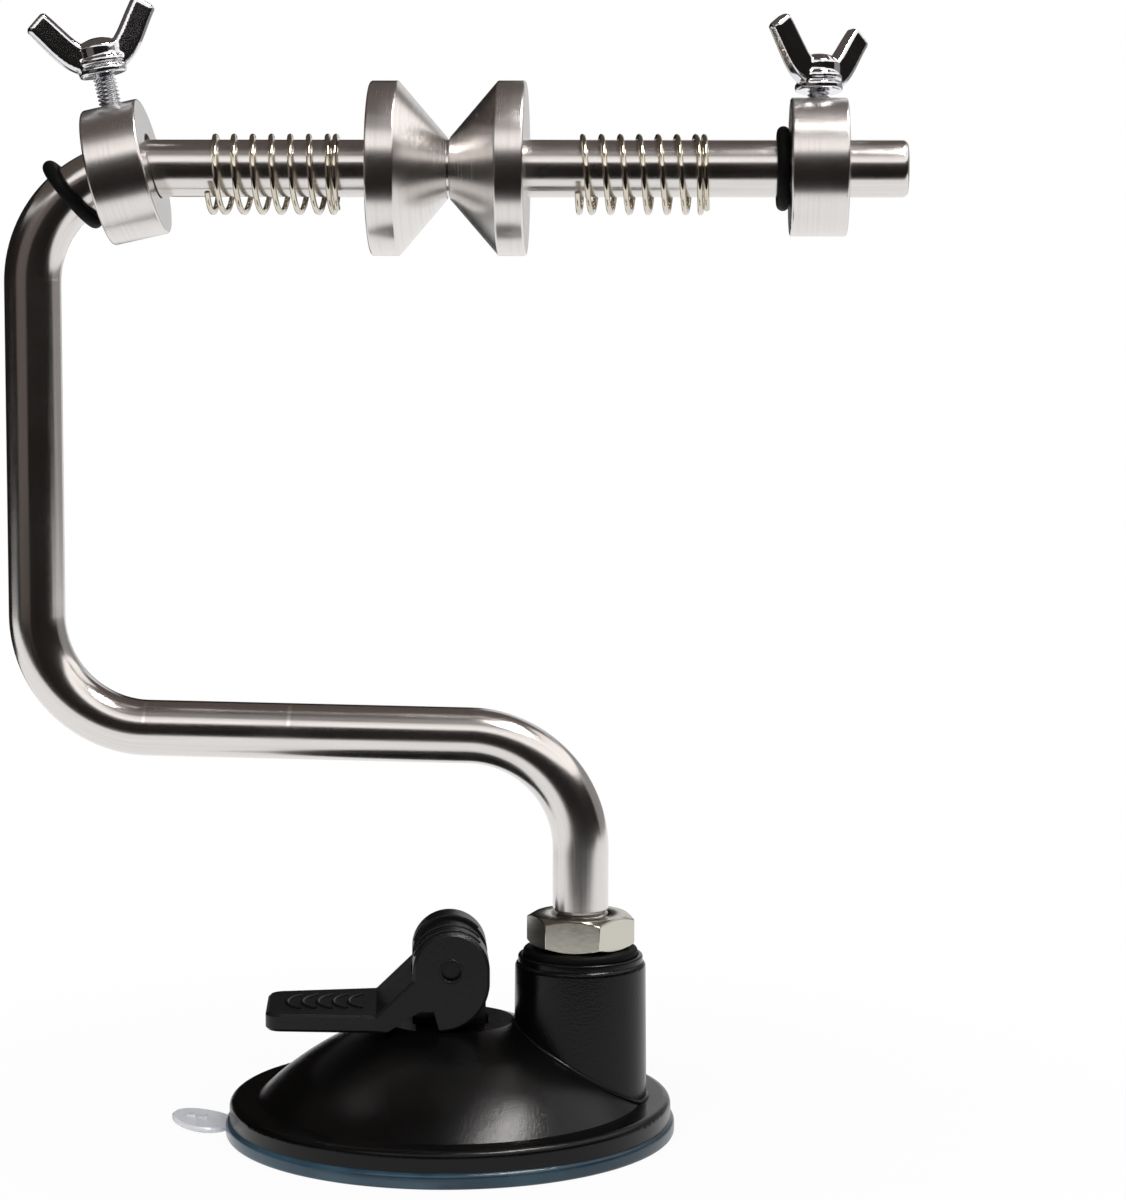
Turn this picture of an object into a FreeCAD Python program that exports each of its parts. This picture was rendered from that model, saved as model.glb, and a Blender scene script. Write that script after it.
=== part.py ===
import FreeCAD, Part
import math
import os
import Sketcher

# A line winder that clamps to a table by a lever-worked suction base.  A bent rod stands in
# the base: its long level end is the spindle, on which two sprung cones hold a line spool
# between two screwed collars.
# Frame: millimetres, origin at the centre of the suction pad's underside, +Z up, +X along
# the spindle towards its free end, the lever's pin and the pad's depth along Y.

SIZES = (
    # rod: arm and spindle in one piece
    ("rod_diameter", 10.0, "bent rod"),
    ("bend_radius", 20.2, "centreline radius of all three bends"),
    ("spindle_height", 172.1, "spindle axis above the table"),
    ("spindle_reach", 80.3, "free end of the spindle, from the base's centre"),
    ("upright_distance", 73.9, "axis of the tall upright, behind the base's centre"),
    ("lower_run_height", 71.7, "axis of the lower run, above the foot"),
    ("lower_run_fall", 1.0, "slope of the lower run, down towards the foot, degrees"),
    ("post_distance", 23.4, "axis of the rod's foot and of the tower"),
    ("rod_end_round", 1.0, "rounded free end"),
    ("shank_diameter", 9.9, "threaded foot of the rod, taken as a plain shank"),
    ("shank_top_height", 40.3, "end of the thread"),
    ("shank_foot_height", 13.5, "lower end of the rod"),
    # suction pad
    ("pad_radius", 40.4, "rim of the soft pad"),
    ("pad_thickness", 2.8, "rim thickness, which the shell stands on"),
    ("pad_rim_round", 0.7, "rounded rim"),
    ("pad_land_radius", 33.0, "inner edge of the flat ring that touches the table"),
    ("pad_lift", 4.15, "rise of the pad's middle when it is locked, which the cam gives"),
    ("pad_skin", 2.2, "thickness of the raised middle"),
    ("pad_boss_radius", 10.6, "boss that holds the stem's foot"),
    ("pad_boss_height", 9.6, "top of that boss"),
    ("tab_reach", 50.5, "tip of the pull tab"),
    ("tab_width", 13.0, "pull tab across"),
    ("tab_thickness", 1.6, "pull tab"),
    ("tab_overlap", 4.0, "how far the tab runs into the pad's rim"),
    # base shell
    ("flange_radius", 39.7, "rim of the shell"),
    ("flange_thickness", 3.6, "rim of the shell"),
    ("flange_round", 1.3, "upper edge of the rim"),
    ("dome_foot_radius", 34.6, "where the dome meets the flat of the rim"),
    ("dome_bulge_radius", 55.0, "radius of the dome's side in section"),
    ("crown_radius", 11.5, "flat top of the dome"),
    ("crown_height", 20.2, "flat top of the dome, which the cam bears on"),
    ("shell_wall", 2.8, "wall of the dome"),
    ("cavity_radius", 31.5, "hollow under the dome"),
    ("slot_clearance", 0.5, "round the stem, in the crown"),
    ("tower_radius", 11.95, "foot of the tower"),
    ("tower_draft", 0.5, "taper of the tower, degrees"),
    ("tower_height", 31.3, "top of the tower"),
    ("tower_round", 1.1, "upper edge of the tower"),
    ("tower_core_height", 9.2, "underside of the tower's core, inside the dome"),
    ("insert_radius", 7.0, "threaded metal insert in the tower"),
    ("insert_foot_height", 12.0, "lower end of the insert"),
    # washer and lock nut
    ("washer_radius", 10.3, "ring between tower and nut"),
    ("washer_thickness", 2.4, "ring between tower and nut"),
    ("washer_round", 0.8, "upper edge of that ring"),
    ("nut_width", 17.0, "across flats"),
    ("nut_thickness", 6.0, "thin lock nut"),
    ("nut_chamfer", 30.0, "chamfer of the nut's corners, degrees"),
    ("nut_turn", 8.0, "how far a corner stands round from the spindle's direction, degrees"),
    # stem, lever and pin
    ("stem_width", 12.6, "along X"),
    ("stem_depth", 6.8, "along Y"),
    ("stem_foot_radius", 9.0, "disc moulded into the pad"),
    ("stem_foot_thickness", 2.0, "disc moulded into the pad"),
    ("stem_foot_height", 7.0, "underside of that disc"),
    ("pin_diameter", 3.4, "lever pin"),
    ("pin_recess", 1.0, "pin ends below the cheeks' faces"),
    ("lever_width", 23.4, "across both cheeks"),
    ("cheek_gap", 7.4, "between the cheeks"),
    ("cheek_radius", 6.8, "round back of the cheeks"),
    ("cam_gap", 0.15, "between the locked cam and the crown"),
    ("heel_reach", 3.1, "heel of the cam, behind the pin"),
    ("notch_rise", 7.2, "notch behind the heel, below the pin"),
    ("notch_reach", 5.6, "notch behind the heel, behind the pin"),
    ("web_reach", 7.0, "web that joins the cheeks, behind the pin"),
    ("neck_drop", 1.6, "where the neck leaves the cheeks, below the pin"),
    ("lever_turn", 5.0, "lever round from the tower's direction, degrees"),
    ("handle_root", 13.3, "handle's inner end, behind the pin"),
    ("handle_reach", 32.9, "handle's tip, behind the pin"),
    ("handle_drop", 7.8, "handle's top face, below the pin"),
    ("handle_thickness", 3.2, "handle"),
    ("handle_tip_width", 19.0, "handle at its tip"),
    ("handle_tip_round", 3.0, "corners of the tip"),
    ("lever_bevel", 0.5, "edges of the lever's sides"),
    # spring under the crown
    ("release_wire", 1.1, "wire of the release spring"),
    ("release_radius", 8.4, "mean radius of the release spring"),
    ("release_turns", 3.0, "turns of the release spring"),
    # cones
    ("cone_radius", 15.25, "rim of a cone"),
    ("cone_length", 13.4, "whole cone along the spindle"),
    ("cone_rim", 4.9, "straight rim of a cone"),
    ("cone_tip_wall", 0.3, "edge left at the tip"),
    ("cone_edge_round", 0.45, "edges of the rim"),
    ("cone_gap", 0.5, "between the two tips"),
    ("cone_place", 0.2, "tip of the outer cone, from the base's centre"),
    # springs on the spindle
    ("spring_wire", 1.0, "wire"),
    ("spring_diameter", 14.2, "outside"),
    ("spring_length", 23.5, "over the end turns"),
    ("spring_turns", 7.6, "turns"),
    ("inner_spring_place", 42.4, "far end of the inner spring, behind the base's centre"),
    ("outer_spring_place", 22.2, "near end of the outer spring"),
    # collars
    ("collar_radius", 12.05, "outside"),
    ("collar_width", 10.0, "along the rod"),
    ("collar_bore", 11.6, "bore, which also passes the rod's bend"),
    ("collar_edge_round", 0.5, "outer edges"),
    ("collar_rise", 0.27, "how far the screw draws a collar off the rod's axis"),
    ("outer_collar_place", 64.7, "middle of the outer collar"),
    ("inner_collar_angle", 9.8, "inner collar round the top bend, from its level end, degrees"),
    ("inner_collar_tip", 2.9, "inner collar tipped further than the rod, degrees"),
    ("inner_screw_lean", 1.5, "inner screw from upright, away from the lever pin's near end, degrees"),
    ("outer_screw_lean", 9.0, "outer screw from upright, away from the lever pin's near end, degrees"),
    # O-rings
    ("oring_section", 2.3, "thickness of an O-ring"),
    ("inner_oring_angle", 39.5, "inner O-ring round the top bend, degrees"),
    # wing screws
    ("stud_diameter", 4.0, "M4 screw"),
    ("stud_length", 8.55, "below the head"),
    ("stud_grip", 3.0, "length held in the head"),
    ("stud_chamfer", 0.6, "point of the screw"),
    ("inner_screw_stand", 5.3, "screw that shows above the inner collar"),
    ("outer_screw_stand", 1.3, "screw that shows above the outer collar"),
    ("inner_wing_turn", 19.0, "wings round from the spindle's direction, degrees"),
    ("outer_wing_turn", 42.0, "wings round from the spindle's direction, degrees"),
    ("hub_radius", 4.2, "head's hub"),
    ("hub_height", 4.6, "head's hub"),
    ("hub_groove", 0.35, "groove between the hub's rings"),
    ("wing_thickness", 2.5, "wings"),
    ("wing_span", 23.8, "over both wings' tips"),
    ("wing_height", 13.4, "top of the wings above the hub's foot"),
    ("wing_shoulder_height", 10.4, "outer corner of a wing"),
    ("wing_tip_inset", 4.0, "outer corner to the top corner of a wing"),
    ("wing_edge_round", 0.45, "edges of the wings"),
    # fits
    ("running_clearance", 0.08, "round a pin or shaft that turns"),
    ("fixed_clearance", 0.02, "round a piece that is held fast"),
    ("seat_gap", 0.05, "between faces that rest on each other and slide"),
    ("cut_run", 1.0, "how far a cut runs past the face that it starts from"),
)

document = FreeCAD.newDocument("line_winder")
sheet = document.addObject("Spreadsheet::Sheet", "Sizes")
for row, (alias, amount, meaning) in enumerate(SIZES, start=1):
    sheet.set("A%d" % row, alias)
    sheet.set("B%d" % row, str(amount))
    sheet.set("C%d" % row, meaning)
    sheet.setAlias("B%d" % row, alias)
document.recompute()


class Size:
    """A length or angle, held both as a number and as an expression of the sheet's cells."""

    def __init__(self, value, text):
        self.value = float(value)
        self.text = text

    def __add__(self, other):
        other = as_size(other)
        return Size(self.value + other.value, "(%s + %s)" % (self.text, other.text))

    def __sub__(self, other):
        other = as_size(other)
        return Size(self.value - other.value, "(%s - %s)" % (self.text, other.text))

    def __mul__(self, other):
        other = as_size(other)
        return Size(self.value * other.value, "(%s * %s)" % (self.text, other.text))

    def __truediv__(self, other):
        other = as_size(other)
        return Size(self.value / other.value, "(%s / %s)" % (self.text, other.text))

    def __neg__(self):
        return Size(-self.value, "(0 - %s)" % self.text)

    def at_most(self, other):
        """This size, or other where that is smaller."""
        return Size(min(self.value, other.value), "min(%s; %s)" % (self.text, other.text))


def as_size(amount):
    """A plain number as a Size; a Size as it is."""
    if isinstance(amount, Size):
        return amount
    return Size(amount, "(%s)" % float(amount))


def tangent(angle):
    """The tangent of an angle in degrees."""
    return Size(math.tan(math.radians(angle.value)), "tan(%s * 1 deg)" % angle.text)


def sine(angle):
    """The sine of an angle in degrees."""
    return Size(math.sin(math.radians(angle.value)), "sin(%s * 1 deg)" % angle.text)


def cosine(angle):
    """The cosine of an angle in degrees."""
    return Size(math.cos(math.radians(angle.value)), "cos(%s * 1 deg)" % angle.text)


class Cells:
    """The sheet's cells as attributes, each a Size."""


size = Cells()
for alias, amount, meaning in SIZES:
    setattr(size, alias, Size(float(amount), "Sizes.%s" % alias))

# Sizes that more than one piece uses, worked out from the cells.
rod_radius = size.rod_diameter / 2
shank_radius = size.shank_diameter / 2
pin_radius = size.pin_diameter / 2
stud_radius = size.stud_diameter / 2
collar_bore_radius = size.collar_bore / 2
flange_top_height = size.pad_thickness + size.flange_thickness
crown_underside = size.crown_height - size.shell_wall
tower_foot_height = size.pad_thickness + size.flange_thickness / 2
tower_top_radius = size.tower_radius - (size.tower_height - tower_foot_height) * tangent(size.tower_draft)
washer_top_height = size.tower_height + size.washer_thickness
nut_foot_height = washer_top_height + size.seat_gap
stem_foot_top = size.stem_foot_height + size.stem_foot_thickness
cam_reach = size.cheek_radius + size.pad_lift
pin_height = size.crown_height + cam_reach + size.cam_gap
bend_centre_x = size.bend_radius - size.upright_distance
bend_centre_height = size.spindle_height - size.bend_radius

HORIZONTAL_AXIS, VERTICAL_AXIS = range(-1, -3, -1)
ORIGIN = HORIZONTAL_AXIS
START, END, CENTRE = range(1, 4)
X_AXIS = FreeCAD.Vector(1, 0, 0)
Y_AXIS = FreeCAD.Vector(0, 1, 0)
Z_AXIS = FreeCAD.Vector(0, 0, 1)

sub_parts = []


# ---- sketches and features ------------------------------------------------------------

def keep(thing, label):
    """Names a finished sub-part and lists it for export."""
    thing.Label = label
    sub_parts.append(thing)
    return thing


def new_body(label):
    return keep(document.addObject("PartDesign::Body", label + "_body"), label)


def sketch_on(body, name, role, offset=None, turn=None):
    """A sketch on one of the body's own origin planes, moved along its normal by offset and
    turned about it by turn."""
    sketch = body.newObject("Sketcher::SketchObject", name)
    plane = [feature for feature in body.Origin.OriginFeatures if feature.Role == role][0]
    sketch.AttachmentSupport = [(plane, "")]
    sketch.MapMode = "FlatFace"
    if turn is not None:
        sketch.AttachmentOffset = FreeCAD.Placement(FreeCAD.Vector(), rotation(Z_AXIS, turn.value))
    if offset is not None:
        sketch.setExpression("AttachmentOffset.Base.z", as_size(offset).text)
    return sketch


def hold_point(sketch, curve, point, across, up):
    """Holds a point of a curve at (across, up) from the sketch's origin."""
    for direction, place, axis in (("DistanceX", as_size(across), VERTICAL_AXIS),
                                   ("DistanceY", as_size(up), HORIZONTAL_AXIS)):
        if place.text == "(0.0)":
            sketch.addConstraint(Sketcher.Constraint("PointOnObject", curve, point, axis))
            continue
        rule = Sketcher.Constraint(direction, ORIGIN, START, curve, point, place.value)
        index = sketch.addConstraint(rule)
        sketch.setExpression("Constraints[%d]" % index, place.text)


def hold_radius(sketch, curve, radius):
    index = sketch.addConstraint(Sketcher.Constraint("Radius", curve, radius.value))
    sketch.setExpression("Constraints[%d]" % index, radius.text)


def arc_middle(first, last, radius, side):
    """The middle of the shorter arc from first to last; side is +1 where it bulges left of the way."""
    chord = last - first
    half = chord.Length / 2
    sagitta = radius - math.sqrt(max(radius ** 2 - half ** 2, 0.0))
    left = FreeCAD.Vector(-chord.y, chord.x, 0).normalize()
    return (first + last) * 0.5 + left * (side * sagitta)


def outline(sketch, corners, arcs=None, closed=True):
    """Straight lines from corner to corner.  arcs gives (radius, side) for a stretch that is an
    arc, keyed by the number of the corner that it starts from."""
    arcs = arcs or {}
    corners = [(as_size(across), as_size(up)) for across, up in corners]
    spots = [FreeCAD.Vector(across.value, up.value, 0) for across, up in corners]
    count = len(corners) if closed else len(corners) - 1
    stretches = []
    for index in range(count):
        first = spots[index]
        last = spots[(index + 1) % len(spots)]
        start, end = START, END
        if index in arcs:
            radius, side = arcs[index]
            middle = arc_middle(first, last, radius.value, side)
            curve = sketch.addGeometry(Part.Arc(first, middle, last), False)
            if side > 0:
                start, end = END, START
        else:
            curve = sketch.addGeometry(Part.LineSegment(first, last), False)
        stretches.append((curve, start, end))
    for index, (curve, start, end) in enumerate(stretches):
        if closed or index + 1 < count:
            following, following_start, _ = stretches[(index + 1) % count]
            sketch.addConstraint(Sketcher.Constraint("Coincident", curve, end, following, following_start))
    for index, (curve, start, end) in enumerate(stretches):
        hold_point(sketch, curve, start, *corners[index])
    if not closed:
        curve, start, end = stretches[-1]
        hold_point(sketch, curve, end, *corners[-1])
    for index, (radius, side) in arcs.items():
        hold_radius(sketch, stretches[index][0], radius)


def circle(sketch, across, up, radius):
    spot = FreeCAD.Vector(as_size(across).value, as_size(up).value, 0)
    curve = sketch.addGeometry(Part.Circle(spot, Z_AXIS, radius.value), False)
    hold_radius(sketch, curve, radius)
    hold_point(sketch, curve, CENTRE, across, up)


def feature(body, kind, name, sketch):
    made = body.newObject("PartDesign::" + kind, name)
    made.Profile = (sketch, [""])
    sketch.Visibility = False
    return made


def pad(body, name, sketch, length, both_ways=False, taper=None):
    made = feature(body, "Pad", name, sketch)
    made.setExpression("Length", as_size(length).text)
    made.Midplane = both_ways
    if taper is not None:
        made.setExpression("TaperAngle", as_size(taper).text)
    document.recompute()
    return made


def pocket(body, name, sketch, length, both_ways=False, reverse=False):
    """A cut, which must take something off the body."""
    before = body.Shape.Volume
    made = feature(body, "Pocket", name, sketch)
    made.setExpression("Length", as_size(length).text)
    made.Midplane = both_ways
    made.Reversed = reverse
    document.recompute()
    if made.Shape.Volume >= before:
        raise RuntimeError("%s cuts nothing from %s" % (name, body.Label))
    return made


def revolve(body, name, sketch, axis="V_Axis"):
    made = feature(body, "Revolution", name, sketch)
    made.ReferenceAxis = (sketch, [axis])
    made.Angle = 360.0
    document.recompute()
    return made


def groove(body, name, sketch, axis="V_Axis"):
    before = body.Shape.Volume
    made = feature(body, "Groove", name, sketch)
    made.ReferenceAxis = (sketch, [axis])
    made.Angle = 360.0
    document.recompute()
    if made.Shape.Volume >= before:
        raise RuntimeError("%s cuts nothing from %s" % (name, body.Label))
    return made


def edges_where(shape, wanted):
    """The names of the edges that wanted(edge) picks."""
    return ["Edge%d" % number for number, edge in enumerate(shape.Edges, start=1) if wanted(edge)]


def round_edges(body, name, radius, wanted):
    base = body.Tip
    made = body.newObject("PartDesign::Fillet", name)
    made.Base = (base, edges_where(base.Shape, wanted))
    made.setExpression("Radius", radius.text)
    document.recompute()
    return made


def bevel_edges(body, name, width, wanted):
    base = body.Tip
    made = body.newObject("PartDesign::Chamfer", name)
    made.Base = (base, edges_where(base.Shape, wanted))
    made.setExpression("Size", width.text)
    document.recompute()
    return made


def is_circle_at(edge, radius, height):
    """True for a whole level circle of that radius at that height, on any axis along Z."""
    curve = edge.Curve
    return (isinstance(curve, Part.Circle) and abs(curve.Radius - radius.value) < 0.001
            and abs(curve.Center.z - height.value) < 0.001 and abs(abs(curve.Axis.z) - 1) < 0.001)


def is_circle_along_x(edge, radius):
    """True for a circle of that radius that faces along X."""
    curve = edge.Curve
    return (isinstance(curve, Part.Circle) and abs(curve.Radius - radius.value) < 0.001
            and abs(abs(curve.Axis.x) - 1) < 0.001)


def rotation(axis, degrees):
    return FreeCAD.Rotation(axis, degrees)


def place(thing, spot, turn=None):
    """Puts a sub-part at spot, bound to the sheet where its coordinates are Sizes."""
    spot = [as_size(coordinate) for coordinate in spot]
    turn = turn or FreeCAD.Rotation()
    thing.Placement = FreeCAD.Placement(FreeCAD.Vector(*[part.value for part in spot]), turn)
    for letter, coordinate in zip("xyz", spot):
        thing.setExpression("Placement.Base." + letter, coordinate.text)


# ---- suction base ----------------------------------------------------------------------

def make_suction_pad():
    body = new_body("suction_pad")
    section = sketch_on(body, "PadSection", "XZ_Plane")
    outline(section, [
        (0, size.pad_lift),
        (size.pad_boss_radius, size.pad_lift),
        (size.pad_land_radius, 0),
        (size.pad_radius, 0),
        (size.pad_radius, size.pad_thickness),
        (size.cavity_radius - size.seat_gap, size.pad_thickness),
        (size.pad_boss_radius, size.pad_lift + size.pad_skin),
        (size.pad_boss_radius, size.pad_boss_height),
        (0, size.pad_boss_height)])
    revolve(body, "PadDisc", section)
    round_edges(body, "PadRimRound", size.pad_rim_round,
                lambda edge: is_circle_at(edge, size.pad_radius, size.pad_thickness))
    tab = sketch_on(body, "TabOutline", "XY_Plane")
    half_width = size.tab_width / 2
    tab_middle = half_width - size.tab_reach
    tab_root = size.tab_overlap - size.pad_radius
    outline(tab, [(tab_root, half_width), (tab_middle, half_width), (-size.tab_reach, 0),
                  (tab_middle, -half_width), (tab_root, -half_width)],
            arcs={1: (half_width, -1), 2: (half_width, -1)})
    pad(body, "PullTab", tab, size.tab_thickness)
    neck = sketch_on(body, "NeckOpening", "XY_Plane", stem_foot_top - size.cut_run, size.lever_turn)
    rectangle(neck, size.stem_width / 2 + size.seat_gap, size.stem_depth / 2 + size.seat_gap)
    pocket(body, "NeckHole", neck, size.pad_boss_height - stem_foot_top + size.cut_run * 2, reverse=True)
    foot = sketch_on(body, "FootSeatSection", "XZ_Plane")
    foot_radius = size.stem_foot_radius + size.seat_gap
    foot_floor = size.stem_foot_height - size.seat_gap
    foot_ceiling = stem_foot_top + size.seat_gap
    outline(foot, [(0, foot_floor), (foot_radius, foot_floor), (foot_radius, foot_ceiling), (0, foot_ceiling)])
    groove(body, "FootSeat", foot)


def rectangle(sketch, half_width, half_depth, middle=0):
    """A rectangle about (middle, 0)."""
    left = as_size(middle) - half_width
    right = as_size(middle) + half_width
    outline(sketch, [(left, -half_depth), (right, -half_depth), (right, half_depth), (left, half_depth)])


def make_base_shell():
    body = new_body("base_shell")
    section = sketch_on(body, "DomeSection", "XZ_Plane")
    outline(section, [
        (0, size.pad_thickness),
        (size.flange_radius, size.pad_thickness),
        (size.flange_radius, flange_top_height),
        (size.dome_foot_radius, flange_top_height),
        (size.crown_radius, size.crown_height),
        (0, size.crown_height)], arcs={3: (size.dome_bulge_radius, -1)})
    revolve(body, "Dome", section)
    flange_land = size.flange_radius - size.dome_foot_radius
    round_edges(body, "FlangeRound", size.flange_round.at_most(flange_land * 0.9),
                lambda edge: is_circle_at(edge, size.flange_radius, flange_top_height))
    tower = sketch_on(body, "TowerOutline", "XY_Plane", tower_foot_height)
    circle(tower, size.post_distance, 0, size.tower_radius)
    pad(body, "Tower", tower, size.tower_height - tower_foot_height, taper=-size.tower_draft)
    hollow = sketch_on(body, "HollowSection", "XZ_Plane")
    outline(hollow, [
        (0, size.pad_thickness - size.cut_run),
        (size.cavity_radius, size.pad_thickness - size.cut_run),
        (size.cavity_radius, flange_top_height - size.shell_wall / 4),
        (size.crown_radius, crown_underside),
        (0, crown_underside)])
    groove(body, "Hollow", hollow)
    core = sketch_on(body, "TowerCoreOutline", "XY_Plane", size.tower_core_height)
    circle(core, size.post_distance, 0, tower_top_radius)
    pad(body, "TowerCore", core, size.tower_height - size.tower_core_height)
    seat = sketch_on(body, "InsertSeatOutline", "XY_Plane", size.tower_height)
    circle(seat, size.post_distance, 0, size.insert_radius + size.fixed_clearance)
    pocket(body, "InsertSeat", seat, size.tower_height - size.insert_foot_height)
    slot = sketch_on(body, "StemSlotOutline", "XY_Plane", size.crown_height, size.lever_turn)
    rectangle(slot, size.stem_width / 2 + size.slot_clearance, size.stem_depth / 2 + size.slot_clearance)
    pocket(body, "StemSlot", slot, size.shell_wall + size.cut_run)
    round_edges(body, "TowerRound", size.tower_round,
                lambda edge: is_circle_at(edge, tower_top_radius, size.tower_height))


def make_ring(label, inner, outer, length, spot):
    """A plain ring standing on spot, its axis along Z."""
    solid = document.addObject("Part::Cylinder", label + "_blank")
    hole = document.addObject("Part::Cylinder", label + "_bore")
    for cylinder, radius in ((solid, outer), (hole, inner)):
        cylinder.setExpression("Radius", radius.text)
        cylinder.setExpression("Height", length.text)
    ring = document.addObject("Part::Cut", label + "_ring")
    ring.Base = solid
    ring.Tool = hole
    place(ring, spot)
    document.recompute()
    return ring


def make_threaded_insert():
    length = size.tower_height - size.insert_foot_height
    bore = shank_radius + size.running_clearance
    ring = make_ring("threaded_insert", bore, size.insert_radius, length,
                     (size.post_distance, 0, size.insert_foot_height))
    keep(ring, "threaded_insert")


def make_seat_washer():
    bore = rod_radius + size.slot_clearance
    ring = make_ring("seat_washer", bore, size.washer_radius, size.washer_thickness, (0, 0, 0))
    rounded = document.addObject("Part::Fillet", "seat_washer_rounded")
    rounded.Base = ring
    names = edges_where(ring.Shape, lambda edge: is_circle_at(edge, size.washer_radius, size.washer_thickness))
    radius = size.washer_round.value
    rounded.Edges = [(int(name[len("Edge"):]), radius, radius) for name in names]
    place(rounded, (size.post_distance, 0, size.tower_height))
    document.recompute()
    keep(rounded, "seat_washer")


def make_lock_nut():
    body = new_body("lock_nut")
    half_flat = size.nut_width / 2
    half_side = half_flat * tangent(as_size(30))
    corner = half_side * 2
    hexagon = sketch_on(body, "Hexagon", "XY_Plane")
    outline(hexagon, [(corner, 0), (half_side, half_flat), (-half_side, half_flat),
                      (-corner, 0), (-half_side, -half_flat), (half_side, -half_flat)])
    pad(body, "NutBlank", hexagon, size.nut_thickness)
    beyond = corner + size.cut_run
    drop = (beyond - half_flat) * tangent(size.nut_chamfer)
    upper = sketch_on(body, "UpperChamferSection", "XZ_Plane")
    outline(upper, [(half_flat, size.nut_thickness + size.cut_run), (half_flat, size.nut_thickness),
                    (beyond, size.nut_thickness - drop), (beyond, size.nut_thickness + size.cut_run)])
    groove(body, "UpperChamfer", upper)
    lower = sketch_on(body, "LowerChamferSection", "XZ_Plane")
    outline(lower, [(half_flat, -size.cut_run), (half_flat, 0), (beyond, drop), (beyond, -size.cut_run)])
    groove(body, "LowerChamfer", lower)
    bore = sketch_on(body, "NutBoreOutline", "XY_Plane", size.nut_thickness)
    circle(bore, 0, 0, shank_radius + size.running_clearance)
    pocket(body, "NutBore", bore, size.nut_thickness)
    place(body, (size.post_distance, 0, nut_foot_height), rotation(Z_AXIS, -size.nut_turn.value))


# ---- stem, lever and pin ----------------------------------------------------------------

def make_stem():
    body = new_body("stem")
    half_width = size.stem_width / 2
    blade = sketch_on(body, "BladeSide", "XZ_Plane")
    outline(blade, [
        (-half_width, size.stem_foot_height + size.stem_foot_thickness / 2),
        (half_width, size.stem_foot_height + size.stem_foot_thickness / 2),
        (half_width, pin_height),
        (0, pin_height + half_width),
        (-half_width, pin_height)], arcs={2: (half_width, -1), 3: (half_width, -1)})
    pad(body, "Blade", blade, size.stem_depth, both_ways=True)
    foot = sketch_on(body, "FootOutline", "XY_Plane", size.stem_foot_height)
    circle(foot, 0, 0, size.stem_foot_radius)
    pad(body, "Foot", foot, size.stem_foot_thickness)
    hole = sketch_on(body, "StemPinOutline", "XZ_Plane")
    circle(hole, 0, pin_height, pin_radius + size.running_clearance)
    pocket(body, "StemPinHole", hole, size.stem_depth + size.cut_run, both_ways=True)
    place(body, (0, 0, 0), rotation(Z_AXIS, size.lever_turn.value))


def make_cam_lever():
    body = new_body("cam_lever")
    # The cam is a round disc set off its pin, so it lowers the stem evenly as the lever lifts.
    eccentric = size.pad_lift / 2
    cam_radius = cam_reach - eccentric
    back = size.cheek_radius
    level = pin_height
    handle_top = level - size.handle_drop
    handle_foot = handle_top - size.handle_thickness
    side = sketch_on(body, "LeverSide", "XZ_Plane")
    outline(side, [
        (-eccentric, level - cam_reach),
        (back, level - eccentric),
        (back, level),
        (0, level + back),
        (-back, level),
        (-back, level - size.neck_drop),
        (-size.handle_root, handle_top),
        (-size.handle_reach, handle_top),
        (-size.handle_reach, handle_foot),
        (size.handle_thickness / 2 - size.handle_root, handle_foot),
        (-size.notch_reach, level - size.notch_rise),
        (-size.heel_reach, level - size.notch_rise)],
        arcs={0: (cam_radius, -1), 2: (back, -1), 3: (back, -1)})
    pad(body, "LeverBlank", side, size.lever_width, both_ways=True)
    for name, sense in (("Near", -1), ("Far", 1)):
        taper = sketch_on(body, name + "TaperOutline", "XY_Plane", handle_foot - size.cut_run)
        outer = (size.lever_width / 2 + size.cut_run) * sense
        outline(taper, [(-size.handle_root, outer), (-size.handle_root, size.lever_width / 2 * sense),
                        (-size.handle_reach, size.handle_tip_width / 2 * sense),
                        (-size.handle_reach - size.cut_run, size.handle_tip_width / 2 * sense),
                        (-size.handle_reach - size.cut_run, outer)])
        pocket(body, name + "Taper", taper, size.handle_thickness + size.cut_run * 2, reverse=True)
    round_edges(body, "HandleTipRound", size.handle_tip_round, is_tip_corner)
    bevel_edges(body, "LeverSideBevel", size.lever_bevel, is_lever_side_edge)
    gap = sketch_on(body, "CheekGapSide", "XZ_Plane")
    right = size.cheek_radius + size.cut_run
    outline(gap, [(-size.web_reach, level - cam_reach - size.cut_run),
                  (right, level - cam_reach - size.cut_run),
                  (right, level + size.cheek_radius + size.cut_run),
                  (-size.web_reach, level + size.cheek_radius + size.cut_run)])
    pocket(body, "CheekGap", gap, size.cheek_gap, both_ways=True)
    hole = sketch_on(body, "LeverPinOutline", "XZ_Plane")
    circle(hole, 0, level, pin_radius + size.fixed_clearance)
    pocket(body, "LeverPinHole", hole, size.lever_width + size.cut_run, both_ways=True)
    place(body, (0, 0, 0), rotation(Z_AXIS, size.lever_turn.value))


def is_tip_corner(edge):
    """True for the two upright edges at the handle's tip."""
    box = edge.BoundBox
    return box.XMax < 0.001 - size.handle_reach.value and box.ZLength > size.handle_thickness.value / 2


def is_lever_side_edge(edge):
    """True for the edges round the lever's two sides and tip, but for those under its neck."""
    box = edge.BoundBox
    if box.YLength > size.handle_tip_round.value + size.lever_width.value / 4:
        return box.XMax < 0.001 - size.handle_reach.value
    upright_corner = box.ZLength > size.handle_thickness.value / 2 and box.XMax < -size.handle_root.value - 1
    notch_height = pin_height.value - size.notch_rise.value
    under_neck = box.XMin > -size.handle_root.value - 0.1 and box.ZMax < notch_height + 0.1
    return not upright_corner and not under_neck


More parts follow.
